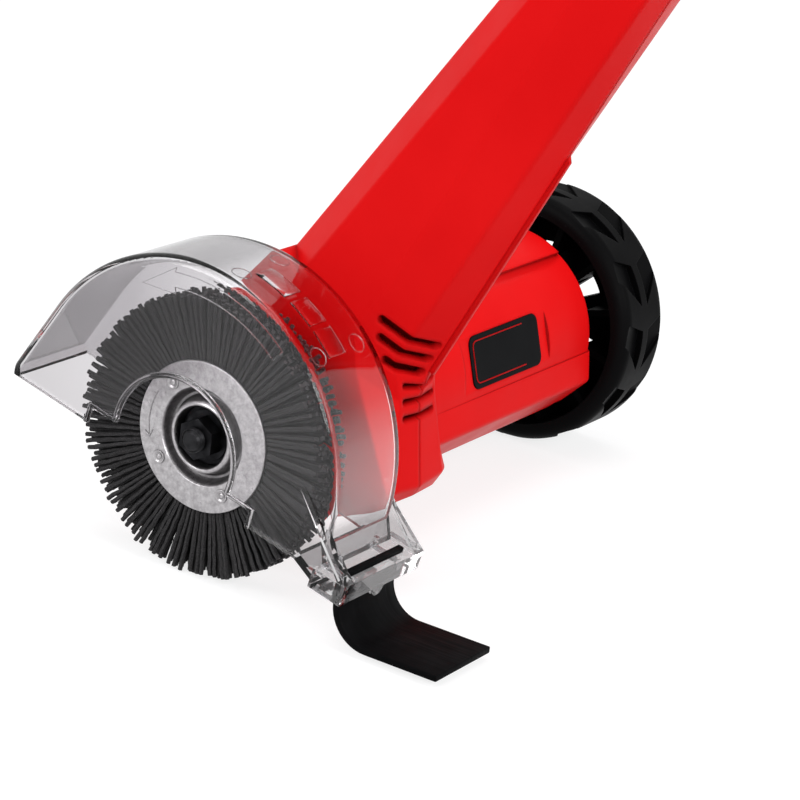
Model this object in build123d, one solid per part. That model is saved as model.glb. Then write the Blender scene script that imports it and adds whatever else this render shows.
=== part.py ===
"""Electric patio cleaner: a rotary brush and a support wheel under a geared motor, on a telescopic pole.

The tool is drawn in its own frame, in millimetres. X runs along the spindle from the brush to the wheel
and is zero where the two halves of the housing meet. Z runs up the pole and Y faces forward. At the end
the tool is leaned back and stood on the floor, with the origin on the floor under the spindle.
"""
import math
import os

from build123d import *

os.makedirs("parts", exist_ok=True)

# Stance
POLE_LEAN = 30.0
GUARD_TURN = -17.0
BRUSH_RADIUS = 50.0
WHEEL_RADIUS = BRUSH_RADIUS

# Clearances
RUN_FIT = 0.03
SEAT_FIT = 0.02
SCREW_FIT = 0.05
SLIDE_GAP = 0.3
LOOSE_GAP = 0.6
CUT = 1.0
EDGE_BREAK = 1.0

# Housing
HALF_WIDTH = 18.6
WALL = 2.6
BARREL_RADIUS = 38.0
BARREL_DRAFT = 0.6
BARREL_END = 155.0
BARREL_END_WALL = 5.0
BARREL_EDGE = 3.0
CREST_STEP = 1.2
LOBE_CREASE = 153.0
LOBE_TUCK = 190.0
LOBE_REACH = 41.0
LOBE_HEIGHT = 8.0
LOBE_ROUND = 2.5
NECK_ROOT = 5.0
NECK_TOP = 240.0
NECK_FRONT_ROOT = 30.4
NECK_FRONT_TOP = 14.6
NECK_BACK_ROOT = -40.3
NECK_BACK_TOP = -22.9
NECK_BEVEL = 12.0
NECK_CREASE_ROOT = -15.8
NECK_CREASE_TOP = -3.6
NECK_EDGE = 2.0
SPINE_WIDTH = 13.0
SPINE_DROP_ROOT = 9.6
SPINE_DROP_TOP = 0.8
SEAM_LIP = 1.8
SEAM_LIP_PROUD = 1.3
SEAM_LIP_TOP = 151.0
SEAM_GAP = 0.3
SOCKET_DEPTH = 50.0
FOOT_HEIGHT = 22.5
FOOT_REACH = 58.4
FOOT_FACE = 5.0
FOOT_SETBACK = 2.4
FOOT_SPINE = 16.0
FOOT_DROP = 1.5
FOOT_RISE = math.radians(30)
BROW_RISE = math.radians(10)
FOOT_ROUND = 2.5
HEEL_HEIGHT = 47.0
HEEL_REACH = 39.0
HEEL_CREASE = 22.0
HEEL_SPINE = 10.5
HEEL_DROP = 1.0
SHOULDER_HEIGHT = 57.0

# Vents
VENT_HEIGHT = 3.4
VENT_PITCH = 5.9
VENT_LOW = 54.7
VENT_STARTS = (-24.3, -18.8, -15.8)
VENT_SPLIT = 1.6
SLOT_HEIGHT = 2.2
SLOT_PITCH = 4.6
SLOT_HALF = 9.4
SLOT_LOW = 40.8
SLOT_COUNT = 3

# Name plate
PLATE_ANGLE = 133.0
PLATE_FLAT = 36.4
PLATE_START = 70.0
PLATE_LENGTH = 47.0
PLATE_WIDTH = 19.5
PLATE_THICK = 1.0
PLATE_SUNK = 0.6
PLATE_CORNER = 3.5
PLATE_MARGIN = 6.0

# Housing screws, as places across and up the pole
EAR_SCREWS = ((33.0, -27.0), (-18.0, -38.5))
NECK_SCREWS = ((-44.0, 24.0), (9.5, 72.0), (-4.0, 108.0), (-4.0, 150.0))
HOUSING_SCREWS = EAR_SCREWS + NECK_SCREWS
EAR_RADIUS = 7.0
BOSS_RADIUS = 4.5
SCREW_RADIUS = 1.75
SCREW_HEAD = 3.5
SCREW_HEAD_THICK = 2.5
SCREW_SINK = 4.5
SCREW_REACH = 12.0
DRIVE_WIDTH = 0.9

# Gear train
MODULE = 0.8
PRESSURE_ANGLE = 25.0
ADDENDUM = 0.9
DEDENDUM = 1.2
TOOTH_THINNING = 0.12
FLANK_STEPS = 4
SPINDLE_TEETH = 38
COUNTER_PINION_TEETH = 14
COUNTER_TEETH = 40
MOTOR_TEETH = 12
CENTRE_DISTANCE = MODULE * (SPINDLE_TEETH + COUNTER_PINION_TEETH) / 2
SPINDLE_GEAR_WIDTH = 7.0
COUNTER_GEAR_WIDTH = 6.0
GEAR_GAP = 1.5
PINION_OVERHANG = 0.5

# Bearings and shafts
SPINDLE_RADIUS = 5.0
SPINDLE_BEARING_RADIUS = 13.0
SPINDLE_BEARING_WIDTH = 7.0
SPINDLE_COLLAR = 6.5
SPINDLE_FLANGE = 11.5
SPINDLE_FLANGE_THICK = 2.5
STUD_RADIUS = 4.0
STUD_PROUD = 6.5
BEARING_RING = 2.4
SEAL_SET_BACK = 0.6
BEARING_BOSS = 3.5
SPINDLE_HOLE = 9.0
COUNTER_RADIUS = 3.0
BUSH_RADIUS = 4.6
BUSH_BOSS = 2.4
MOTOR_SHAFT_RADIUS = 3.5
MOTOR_BEARING_RADIUS = 9.5
MOTOR_BEARING_WIDTH = 6.0
PINION_BORE = 2.5
MOTOR_PLATE_THICK = 8.5

# Motor
FAN_RADIUS = 29.0
FAN_WIDTH = 10.0
FAN_BLADES = 11
FAN_BLADE = 1.6
FAN_DISC = 1.6
FAN_HUB = 8.5
MOTOR_GAP = 3.0
CORE_SHAFT_RADIUS = 5.0
STACK_LENGTH = 42.0
STATOR_RADIUS = 30.0
STATOR_YOKE = 5.5
POLE_WIDTH = 24.0
AIR_GAP = 0.5
ARMATURE_RADIUS = 15.5
ARMATURE_SLOTS = 12
ARMATURE_SLOT_WIDTH = 2.2
ARMATURE_SLOT_DEPTH = 5.0
COIL_END = 5.0
COIL_THICK = 4.6
WINDING_RADIUS = 13.0
WINDING_END = 5.0
COMMUTATOR_RADIUS = 10.0
COMMUTATOR_LENGTH = 13.0
COMMUTATOR_GAP = 6.0
CARBON_WIDTH = 7.0
CARBON_HEIGHT = 6.0
CARBON_LENGTH = 12.0
HOLDER_WALL = 2.0
HOLDER_START = 13.5
STATOR_RIBS = 4
STATOR_RIB_WIDTH = 5.0
STATOR_RIB_FIRST = 45.0

# Brush
BRUSH_OFFSET = 18.9
HUB_RADIUS = 26.8
HUB_SHEET = 1.2
HUB_GRIP = 8.6
HUB_GROOVE_OUTER = 17.0
HUB_GROOVE_INNER = 13.4
HUB_GROOVE_DEPTH = 1.8
COLLAR_RADIUS = 11.6
COLLAR_PROUD = 0.2
ARBOR_LENGTH_NEAR = 2.0
NUT_ACROSS = 13.0
NUT_THICK = 5.8
WASHER_RADIUS = 9.0
WASHER_THICK = 1.2
STRANDS_A_ROW = 100
STRAND_WIDTH = 1.05
STRAND_SPLAY = 17.0
STRAND_SPREAD = 7.0
STRAND_ROWS = 4
STRAND_JITTER = 0.22
SPLAY_WAVE = 2.4
TURN_WAVE = 1.9
BACKING_INNER = HUB_GROOVE_OUTER + 2 * HUB_SHEET
BACKING_OUTER = 25.0
STRAND_ROOT = 22.0

# Guard
GUARD_RADIUS = 65.5
GUARD_WALL = 2.2
GUARD_WIDTH = 40.4
GUARD_EDGE = 4.0
GUARD_TIP_REACH = 71.3
GUARD_TIP_DROP = 5.9
GUARD_CHIN_REACH = 69.5
GUARD_SKIRT = 10.0
GUARD_HEEL_REACH = 70.5
GUARD_MOUTH = 25.0
GUARD_NOTCH_HALF = 36.0
GUARD_NOTCH_DEPTH = 6.5
GUARD_MOUTH_BACK = 20.0
GUARD_SCREW_CIRCLE = 29.5
GUARD_SCREW_ANGLES = (30.0, 90.0, 150.0)
GUARD_SCREW_LENGTH = 7.0
GUARD_BOSS_LENGTH = 7.0

# Flap and its holder, in the floor's frame
FLAP_PLANE = 74.8
FLAP_TOP = 5.0
FLAP_THICK = 2.4
FLAP_LOW = 3.2
FLAP_TIP_REACH = -110.5
FLAP_TIP_HEIGHT = 3.8
FLAP_BEND = 12.8
FLAP_MARGIN = 2.6
HOLDER_TOP = 6.7
HOLDER_FOOT = 14.0
HOLDER_FRONT = 66.0
HOLDER_BACK = 79.2
HOLDER_OVERHANG = 3.0
TOE_REACH = 56.5
GUSSET_REACH = 51.8
GUSSET_HEIGHT = 15.8
NUB_RADIUS = 3.2
RIVET_RADIUS = 1.5
RIVET_HEAD = 2.8
RIVET_HEAD_THICK = 1.2
RIVET_SPREAD = 24.0
RIVET_BLIND = 1.6

# Wheel
WHEEL_WIDTH = 31.0
WHEEL_STANDOFF = 4.0
TREAD_THICK = 7.0
TREAD_POCKETS = 12
TREAD_EDGE = 5.0
POCKET_OUTER = 2.0
POCKET_INNER = 13.5
POCKET_SHALLOW = 1.0
POCKET_DEPTH = 2.8
POCKET_OUTER_ARC = (-11.3, -1.2)
POCKET_INNER_ARC = (-6.2, 12.6)
WEB_THICK = 5.0
WEB_INSET = 4.0
WEB_WINDOWS = 6
WINDOW_INNER = 15.5
WINDOW_OUTER = 27.0
WINDOW_HALF = 8.0
WINDOW_FIRST = 25.5
WHEEL_RIBS = 12
WHEEL_RIB = 2.4
WHEEL_RIB_DEPTH = 12.0
WHEEL_HUB = 13.0
AXLE_RADIUS = 5.0
AXLE_FLANGE = 9.0
AXLE_FLANGE_THICK = 2.0
AXLE_GRIP = 20.0
WHEEL_BUSH_WALL = 2.0
WHEEL_CAP_THICK = 1.5
WHEEL_NUT_THICK = 4.5
WHEEL_NUT_ACROSS = 14.0
WHEEL_NUT_ROOM = 6.0

# Pole
LOWER_TUBE_RADIUS = 14.0
LOWER_TUBE_WALL = 1.2
LOWER_TUBE_TOP = 600.0
LOWER_TUBE_SUNK = 75.0
UPPER_TUBE_WALL = 1.1
UPPER_TUBE_FOOT = 330.0
UPPER_TUBE_SUNK = 63.0
TUBE_SCREW_DROPS = (14.0, 38.0)
TUBE_SCREW_RADIUS = 2.0
TUBE_SCREW_HEAD = 4.0
TUBE_SCREW_SINK = 2.0
COLLAR_WALL = 3.4
COLLAR_GRIP = 30.0
COLLAR_NECK = 30.0
COLLAR_NECK_WALL = 1.8
TWIST_NUT_WALL = 4.0
TWIST_NUT_CAP = 10.0
TWIST_NUT_RIBS = 18
TWIST_NUT_RIB = 1.4

# Main handle
HANDLE_HALF = 17.0
HANDLE_WALL = 3.4
HANDLE_EDGE = 6.0
HANDLE_CORNER = 13.0
HANDLE_FOOT = 835.0
HANDLE_TALL = 255.0
SPLAY_RISE = 70.0
CHEEK_RISE = 42.0
BOW_FOOT_RISE = 98.0
GRIP_FRONT = 20.0
GRIP_BACK = -14.0
BOW_FRONT = -46.0
BOW_BACK = -60.0
LOOP_FOOT_RISE = 87.0
LOOP_RISE = 14.0
LOOP_BAR = 38.0
LOOP_CORNER = 11.0
SOCKET_FRONT = 17.0
SOCKET_BACK = -25.5
PAD_THICK = 1.6
PAD_RISE = 80.0
PAD_DROP = 30.0
PAD_FRONT = 6.0
HIGH_SCREW_DROPS = ((8.0, 18.0), (-47.0, 20.0))
LOW_SCREW_RISES = ((-50.5, 125.0), (9.5, 81.0))
HANDLE_BOSS = 4.2
TRIGGER_HALF = 6.0
TRIGGER_PIVOT_Y = -9.0
TRIGGER_RISE = 14.0
TRIGGER_LENGTH = 52.0
TRIGGER_PROUD = 8.0
TRIGGER_PIN_RADIUS = 1.5
TRIGGER_BOSS = 4.0
TRIGGER_INNER = 4.0
TRIGGER_BEND_LOW = 0.25
TRIGGER_BEND_HIGH = 0.75
TRIGGER_ROUND = 2.0
SWITCH_FRONT = 13.5
SWITCH_BACK = 4.5
SWITCH_RISE = 8.0
SWITCH_TALL = 28.0
PLUNGER_RADIUS = 2.8
PLUNGER_REACH = 6.0
BUTTON_RADIUS = 6.0
BUTTON_Y = -1.5
BUTTON_RISE = 32.0
BUTTON_STEM = 12.0
BUTTON_RIM = 1.4
BUTTON_RIM_THICK = 1.5
BUTTON_TRAVEL = 3.5
GLAND_Y = -22.0
GLAND_RADIUS = 7.0
GLAND_BORE = 4.0
GLAND_LENGTH = 14.0
GLAND_LIP = 1.5
GLAND_LIP_THICK = 2.0

# Bow handle on the pole
BOW_DROP = 90.0
BOW_PIVOT_Y = 27.0
BOW_TILT = 40.0
CLAMP_HALF_HEIGHT = 18.0
CLAMP_WALL = 6.0
CLAMP_SIDE = 22.0
CLAMP_SLIT = 1.0
CLAMP_SCREW_X = 17.5
LUG_RADIUS = 12.0
LUG_HALF = 12.0
EYE_WIDTH = 15.0
BOW_BAR_RADIUS = 7.0
BOW_GRIP_RADIUS = 11.0
BOW_GRIP_EDGE = 3.0
BOW_RISE = 26.0
BOW_HALF = 55.0
BOW_SHOULDER = 52.0
BOW_LENGTH = 116.0
BOW_CORNER = 16.0
BOW_BOLT_RADIUS = 4.0
BOW_BOLT_HEAD = 7.0
BOW_BOLT_HEAD_THICK = 4.0
KNOB_RADIUS = 16.0
KNOB_LENGTH = 15.0
KNOB_LOBES = 6
KNOB_SCOOP = 5.0

# Places along the spindle
INNER_FACE = -(HALF_WIDTH - WALL)
FRONT_BEARING = INNER_FACE
SPINDLE_GEAR = FRONT_BEARING + SPINDLE_BEARING_WIDTH + GEAR_GAP
GEAR_PLATE = SPINDLE_GEAR + SPINDLE_GEAR_WIDTH + GEAR_GAP
COUNTER_GEAR = GEAR_PLATE + SPINDLE_BEARING_WIDTH + GEAR_GAP
MOTOR_PLATE = COUNTER_GEAR + COUNTER_GEAR_WIDTH + GEAR_GAP
MOTOR_PLATE_END = MOTOR_PLATE + MOTOR_PLATE_THICK
FRONT_MOTOR_BEARING = MOTOR_PLATE_END - MOTOR_BEARING_WIDTH
FAN = MOTOR_PLATE_END + MOTOR_GAP
STACK = FAN + FAN_WIDTH + MOTOR_GAP + COIL_END
STACK_END = STACK + STACK_LENGTH
COMMUTATOR = STACK_END + COIL_END + COMMUTATOR_GAP
COMMUTATOR_END = COMMUTATOR + COMMUTATOR_LENGTH
REAR_BEARING = COMMUTATOR_END + COMMUTATOR_GAP
REAR_BEARING_END = REAR_BEARING + MOTOR_BEARING_WIDTH
SHAFT_END = REAR_BEARING_END + CUT
BARREL_INNER = BARREL_RADIUS - BARREL_DRAFT - WALL
AXLE_START = BARREL_END - AXLE_GRIP
WHEEL_NEAR = BARREL_END + WHEEL_STANDOFF
WHEEL_FAR = WHEEL_NEAR + WHEEL_WIDTH
BRUSH_MID = -HALF_WIDTH - BRUSH_OFFSET
GRIP_NEAR = BRUSH_MID - HUB_GRIP / 2
GRIP_FAR = BRUSH_MID + HUB_GRIP / 2
HUB_NEAR = GRIP_NEAR - HUB_SHEET
HUB_FAR = GRIP_FAR + HUB_SHEET
FLANGE_FACE = HUB_FAR + COLLAR_PROUD
ARBOR_NEAR = BRUSH_MID - ARBOR_LENGTH_NEAR
NUT_NEAR = ARBOR_NEAR - WASHER_THICK - NUT_THICK
STUD_END = HUB_NEAR - STUD_PROUD
GUARD_BACK = -HALF_WIDTH
GUARD_FRONT = GUARD_BACK - GUARD_WIDTH
FLAP_NEAR = GUARD_FRONT + FLAP_MARGIN
FLAP_FAR = GUARD_BACK - GUARD_WALL - FLAP_MARGIN

# Places across and along the pole
FOOT_CREASE = FOOT_REACH - FOOT_SETBACK
POLE_Y = (NECK_FRONT_TOP + NECK_BACK_TOP) / 2
LOWER_TUBE_FOOT = NECK_TOP - LOWER_TUBE_SUNK
LOWER_TUBE_BORE = LOWER_TUBE_RADIUS - LOWER_TUBE_WALL
UPPER_TUBE_RADIUS = LOWER_TUBE_BORE - SLIDE_GAP
UPPER_TUBE_BORE = UPPER_TUBE_RADIUS - UPPER_TUBE_WALL
UPPER_TUBE_TOP = HANDLE_FOOT + UPPER_TUBE_SUNK
BOW_Z = HANDLE_FOOT - BOW_DROP
HANDLE_TOP = HANDLE_FOOT + HANDLE_TALL
HANDLE_SPLAY = HANDLE_FOOT + SPLAY_RISE
HANDLE_CHEEK = HANDLE_FOOT + CHEEK_RISE
BOW_FOOT = HANDLE_FOOT + BOW_FOOT_RISE
LOOP_FOOT = HANDLE_FOOT + LOOP_FOOT_RISE
LOOP_TOP = HANDLE_TOP - LOOP_BAR
PAD_START = HANDLE_FOOT + PAD_RISE
PAD_END = HANDLE_TOP - PAD_DROP
HIGH_SCREWS = tuple((y, HANDLE_TOP - drop) for y, drop in HIGH_SCREW_DROPS)
LOW_SCREWS = tuple((y, HANDLE_FOOT + rise) for y, rise in LOW_SCREW_RISES)
HANDLE_SCREWS = HIGH_SCREWS + LOW_SCREWS
TRIGGER_PIVOT_Z = LOOP_FOOT + TRIGGER_RISE
TRIGGER_TIP_Z = TRIGGER_PIVOT_Z + TRIGGER_LENGTH
SWITCH_LOW = TRIGGER_PIVOT_Z + SWITCH_RISE
SWITCH_HIGH = SWITCH_LOW + SWITCH_TALL
BUTTON_Z = SWITCH_HIGH + BUTTON_RISE

STANCE = Pos(0, 0, BRUSH_RADIUS) * Rot(POLE_LEAN, 0, 0)
FROM_FLOOR = STANCE.inverse()
GUARD_FRAME = Rot(GUARD_TURN, 0, 0)


def x_bar(radius, start, end, y=0.0, z=0.0):
    """Round bar along the spindle direction."""
    return Pos((start + end) / 2, y, z) * Rot(0, 90, 0) * Cylinder(radius, abs(end - start))


def x_ring(outer, inner, start, end, y=0.0, z=0.0):
    """Round ring along the spindle direction."""
    return x_bar(outer, start, end, y, z) - x_bar(inner, start - CUT, end + CUT, y, z)


def z_bar(radius, start, end, x=0.0, y=POLE_Y):
    """Round bar along the pole."""
    return Pos(x, y, (start + end) / 2) * Cylinder(radius, end - start)


def z_ring(outer, inner, start, end):
    """Round ring round the pole."""
    return z_bar(outer, start, end) - z_bar(inner, start - CUT, end + CUT)


def y_bar(radius, start, end, x, z):
    """Round bar from back to front."""
    return Pos(x, (start + end) / 2, z) * Rot(90, 0, 0) * Cylinder(radius, abs(end - start))


def block(x_range, y_range, z_range):
    """Box between pairs of limits."""
    low = [min(pair) for pair in (x_range, y_range, z_range)]
    high = [max(pair) for pair in (x_range, y_range, z_range)]
    middle = [(a + b) / 2 for a, b in zip(low, high)]
    return Pos(*middle) * Box(*[b - a for a, b in zip(low, high)])


def slab(outline, start, end):
    """Outline drawn across and up the pole, given thickness along the spindle."""
    return extrude(Plane.YZ.offset(start) * outline, amount=end - start)


def outline_of(points):
    """Closed straight-sided outline."""
    return make_face(Polyline(*points, close=True))


def between(start, end, share):
    """Value part of the way from start to end."""
    return start + (end - start) * share


def turned_about_spindle(shape, count, first=0.0):
    """Copies of a shape set evenly about the spindle."""
    return [Rot(first + 360.0 * step / count, 0, 0) * shape for step in range(count)]


def hexagon_bar(across, start, end, bore):
    """Six-sided nut along the spindle."""
    return slab(RegularPolygon(across / math.sqrt(3), 6), start, end) - x_bar(bore, start - CUT, end + CUT)


def cheese_screw(radius, head, head_thick, under_head, tip, y, z):
    """Screw along the spindle direction, with its head on the side away from its tip."""
    away = math.copysign(1.0, under_head - tip)
    shank = x_bar(radius, tip, under_head, y, z)
    cap = x_bar(head, under_head, under_head + away * head_thick, y, z)
    drive = block(
        (under_head + away * head_thick / 2, under_head + away * (head_thick + CUT)),
        (y - head, y + head),
        (z - DRIVE_WIDTH / 2, z + DRIVE_WIDTH / 2),
    )
    return shank + cap - drive


def tooth_outline(teeth, first_tooth):
    """Involute toothed wheel as a straight-sided outline, with one tooth centred at first_tooth degrees."""
    pitch = MODULE * teeth / 2
    pressure = math.radians(PRESSURE_ANGLE)
    base = pitch * math.cos(pressure)
    tip = pitch + ADDENDUM * MODULE
    root = pitch - DEDENDUM * MODULE
    lowest = max(base, root)
    half_tooth = math.pi / (2 * teeth) - TOOTH_THINNING / (2 * pitch)
    flank = []
    if root < base:
        flank.append((root, half_tooth + math.tan(pressure) - pressure))
    for step in range(FLANK_STEPS + 1):
        radius = between(lowest, tip, step / FLANK_STEPS)
        roll = math.acos(min(1.0, base / radius))
        flank.append((radius, half_tooth + math.tan(pressure) - pressure - math.tan(roll) + roll))
    points = []
    for tooth in range(teeth):
        centre = math.radians(first_tooth) + 2 * math.pi * tooth / teeth
        rising = [(radius, centre - half) for radius, half in flank]
        falling = [(radius, centre + half) for radius, half in reversed(flank)]
        points += [(radius * math.cos(a), radius * math.sin(a)) for radius, a in rising + falling]
    return outline_of(points)


def gear(teeth, first_tooth, start, end, bore, z=0.0):
    """Toothed wheel with its bore."""
    wheel = slab(tooth_outline(teeth, first_tooth), start, end) - x_bar(bore, start - CUT, end + CUT)
    return Pos(0, 0, z) * wheel


def sealed_bearing(radius, bore, start, width):
    """Ball bearing with its seals set back between the two rings."""
    ring = x_ring(radius, bore, start, start + width)
    recess = x_ring(radius - BEARING_RING, bore + BEARING_RING, start - CUT, start + SEAL_SET_BACK)
    far = Pos(width + CUT - SEAL_SET_BACK, 0, 0) * recess
    return ring - recess - far


def along_neck(root, top, height):
    """Value at a height up the neck, from its value at the root and at the top."""
    return between(root, top, (height - NECK_ROOT) / (NECK_TOP - NECK_ROOT))


def neck_front(height):
    """Front face of the neck at a height up the pole."""
    return along_neck(NECK_FRONT_ROOT, NECK_FRONT_TOP, height)


def neck_back(height):
    """Back ridge of the neck at a height up the pole."""
    return along_neck(NECK_BACK_ROOT, NECK_BACK_TOP, height)


def neck_back_half(height):
    """Corners of the back of the neck on one side, at a height up the pole."""
    crease = along_neck(NECK_CREASE_ROOT, NECK_CREASE_TOP, height)
    drop = along_neck(SPINE_DROP_ROOT, SPINE_DROP_TOP, height)
    return [(HALF_WIDTH, crease), (SPINE_WIDTH, neck_back(height) + drop)]


def cross_section(height, half, back, inset):
    """Outline across the pole at a height, from the corners of one side and the ridge at the back."""
    mirrored = [(-x, y) for x, y in reversed(half)]
    outline = outline_of(half + [(0, back)] + mirrored)
    if inset:
        outline = offset(outline, -inset, kind=Kind.INTERSECTION)
    return Pos(0, 0, height) * outline


def neck_outline(height, inset):
    """Nine-sided outline of the neck at a height up the pole, drawn in by inset."""
    front = neck_front(height)
    bevel = [(HALF_WIDTH - NECK_BEVEL, front), (HALF_WIDTH, front - NECK_BEVEL)]
    return cross_section(height, bevel + neck_back_half(height), neck_back(height), inset)


def seam_lip():
    """Thin edge of the wheel-side half that stands proud of the ridge at the back of the neck."""
    heights = (SHOULDER_HEIGHT, SEAM_LIP_TOP)
    backs = [neck_back(height) for height in heights]
    lip = outline_of(
        [
            (backs[0] + WALL, heights[0]),
            (backs[0] - SEAM_LIP_PROUD, heights[0]),
            (backs[1] - SEAM_LIP_PROUD, heights[1] - SEAM_LIP_PROUD),
            (backs[1] + WALL, heights[1] + WALL),
        ]
    )
    return slab(lip, 0, SEAM_LIP)


def neck(top, inset):
    """Tapered neck up to a height."""
    return loft([neck_outline(NECK_ROOT, inset), neck_outline(top, inset)], ruled=True)


def heel(inset):
    """Back of the gear case, which runs down from the neck to a foot, drawn in by inset."""
    heel_half = [(HALF_WIDTH, -HEEL_CREASE), (HEEL_SPINE, HEEL_DROP - HEEL_REACH)]
    foot_half = [(HALF_WIDTH, -FOOT_CREASE), (FOOT_SPINE, FOOT_DROP - FOOT_REACH)]
    stations = [
        (SHOULDER_HEIGHT, neck_back_half(SHOULDER_HEIGHT), neck_back(SHOULDER_HEIGHT)),
        (HEEL_HEIGHT, heel_half, -HEEL_REACH),
        (FOOT_HEIGHT, foot_half, -FOOT_REACH),
        (-BARREL_RADIUS, foot_half, -FOOT_REACH),
    ]
    sections = [
        cross_section(height, [(HALF_WIDTH, 0)] + half, back, inset) for height, half, back in stations
    ]
    tuck = (-BARREL_RADIUS * math.cos(FOOT_RISE), -BARREL_RADIUS * math.sin(FOOT_RISE))
    toe = (-FOOT_REACH, FOOT_HEIGHT - FOOT_FACE)
    past_toe = tuple(between(low, high, 3) for low, high in zip(tuck, toe))
    over = outline_of([(0, 0), (0, past_toe[1]), past_toe, tuck])
    if inset:
        over = offset(over, -inset)
    return loft(sections, ruled=True) & slab(over, -HALF_WIDTH, HALF_WIDTH)


def case_outline():
    """Side view of the rest of the gear case: round under the spindle, with a brow and two screw ears."""
    brow = outline_of(
        [
            (0, 0),
            (BARREL_RADIUS * math.cos(BROW_RISE), BARREL_RADIUS * math.sin(BROW_RISE)),
            (neck_front(SHOULDER_HEIGHT), SHOULDER_HEIGHT),
            (0, SHOULDER_HEIGHT),
        ]
    )
    outline = Circle(BARREL_RADIUS) + brow
    for y, z in EAR_SCREWS:
        outline += Pos(y, z) * Circle(EAR_RADIUS)
    return outline


def barrel_solid(radius, start, end):
    """Motor barrel, drawn in slightly towards the wheel."""
    wide = Plane.YZ.offset(start) * Circle(radius)
    narrow = Plane.YZ.offset(end) * Circle(radius - BARREL_DRAFT)
    return loft([wide, narrow], ruled=True)


def barrel_lobe():
    """Lobe along the lower back of the barrel, which meets it in a crease under the name plate."""
    crease = math.radians(LOBE_CREASE)
    tuck = math.radians(LOBE_TUCK)
    section = outline_of(
        [
            (0, 0),
            (BARREL_RADIUS * math.cos(crease), BARREL_RADIUS * math.sin(crease)),
            (-LOBE_REACH, LOBE_HEIGHT),
            (BARREL_RADIUS * math.cos(tuck), BARREL_RADIUS * math.sin(tuck)),
        ]
    )
    section = fillet(section.vertices().sort_by(Axis.X)[0], LOBE_ROUND)
    lobe = slab(section, 0, BARREL_END)
    return fillet(lobe.faces().sort_by(Axis.X)[-1].edges().sort_by(Axis.Y)[:3], LOBE_ROUND)


def housing_outside():
    """Whole housing as a closed form."""
    case = slab(case_outline(), -HALF_WIDTH, HALF_WIDTH)
    back = heel(0)
    foot_edges = [edge for edge in back.edges() if edge.center().Y < -FOOT_CREASE]
    back = fillet(foot_edges, FOOT_ROUND)
    stem = neck(NECK_TOP, 0)
    ridges = stem.edges() - stem.faces().filter_by(Axis.Z).edges()
    stem = fillet(ridges, NECK_EDGE)
    barrel = barrel_solid(BARREL_RADIUS, HALF_WIDTH, BARREL_END)
    barrel = fillet(barrel.faces().sort_by(Axis.X)[-1].edges(), BARREL_EDGE)
    crest = barrel_solid(BARREL_RADIUS + CREST_STEP, 0, BARREL_END - BARREL_EDGE)
    crest_reach = BARREL_RADIUS + CREST_STEP + CUT
    crest &= block((0, BARREL_END), (0, crest_reach), (0, crest_reach))
    return case + back + stem + barrel + crest + barrel_lobe()


def housing_hollow():
    """Room inside the housing for the gears, the motor and the wiring."""
    case = slab(offset(case_outline(), -WALL), INNER_FACE, -INNER_FACE) + heel(WALL)
    barrel = x_bar(BARREL_INNER, 0, BARREL_END - BARREL_END_WALL)
    return case + neck(NECK_TOP - SOCKET_DEPTH, WALL) + barrel


def plate_flat(depth):
    """Frame of the flat on the barrel that takes the name plate, at a distance from the spindle."""
    middle = PLATE_START + PLATE_LENGTH / 2
    return Rot(PLATE_ANGLE - 90, 0, 0) * Pos(middle, 0, depth)


def name_plate_solid(grow, bottom, top):
    """Rounded plate between two distances from the spindle."""
    shape = RectangleRounded(PLATE_LENGTH + 2 * grow, PLATE_WIDTH + 2 * grow, PLATE_CORNER)
    return plate_flat(bottom) * extrude(shape, amount=top - bottom)


def round_slot(x_range, y_range, low, height):
    """Level slot that has round ends both from the side and from the back."""
    middle = low + height / 2
    from_side = Pos(sum(y_range) / 2, middle) * SlotOverall(abs(y_range[0] - y_range[1]), height)
    from_back = Pos(sum(x_range) / 2, middle) * SlotOverall(abs(x_range[0] - x_range[1]), height)
    across = extrude(Plane.XZ * from_back, amount=FOOT_REACH * 2, both=True)
    return slab(from_side, min(x_range), max(x_range)) & across


def vents():
    """Cooling slots: three long ones round the brush side of the neck, three short ones across the seam."""
    cuts = []
    for step, start in enumerate(VENT_STARTS):
        low = VENT_LOW + step * VENT_PITCH
        cuts.append(round_slot((-HALF_WIDTH * 2, -VENT_SPLIT), (start, -FOOT_REACH), low, VENT_HEIGHT))
    for step in range(SLOT_COUNT):
        low = SLOT_LOW + step * SLOT_PITCH
        cuts.append(round_slot((-SLOT_HALF, SLOT_HALF), (-HEEL_CREASE, -FOOT_REACH), low, SLOT_HEIGHT))
    return cuts


def tube_screw_heights():
    """Heights of the two screws that hold the pole in the neck."""
    return [NECK_TOP - drop for drop in TUBE_SCREW_DROPS]


def tube_screw_holes():
    """Holes and sunk seats for the pole's screws on the wheel side of the neck."""
    face = HALF_WIDTH + CUT
    seat = HALF_WIDTH - TUBE_SCREW_SINK
    holes = []
    for height in tube_screw_heights():
        holes.append(x_bar(TUBE_SCREW_RADIUS + SCREW_FIT, 0, face, POLE_Y, height))
        holes.append(x_bar(TUBE_SCREW_HEAD + SLIDE_GAP, seat, face, POLE_Y, height))
    return holes


def housing_skin():
    """Hollow housing before it is parted, with its openings and seats."""
    bore = z_bar(LOWER_TUBE_RADIUS + SEAT_FIT, LOWER_TUBE_FOOT, NECK_TOP + CUT)
    flat = Box(PLATE_LENGTH + 2 * PLATE_MARGIN, BARREL_RADIUS * 2, PLATE_WIDTH)
    flat = plate_flat(PLATE_FLAT) * Pos(0, 0, PLATE_WIDTH / 2) * flat
    seat = name_plate_solid(SLIDE_GAP / 2, PLATE_FLAT - PLATE_SUNK, PLATE_FLAT + CUT)
    return housing_outside() - housing_hollow() - bore - flat - seat - vents()


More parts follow.
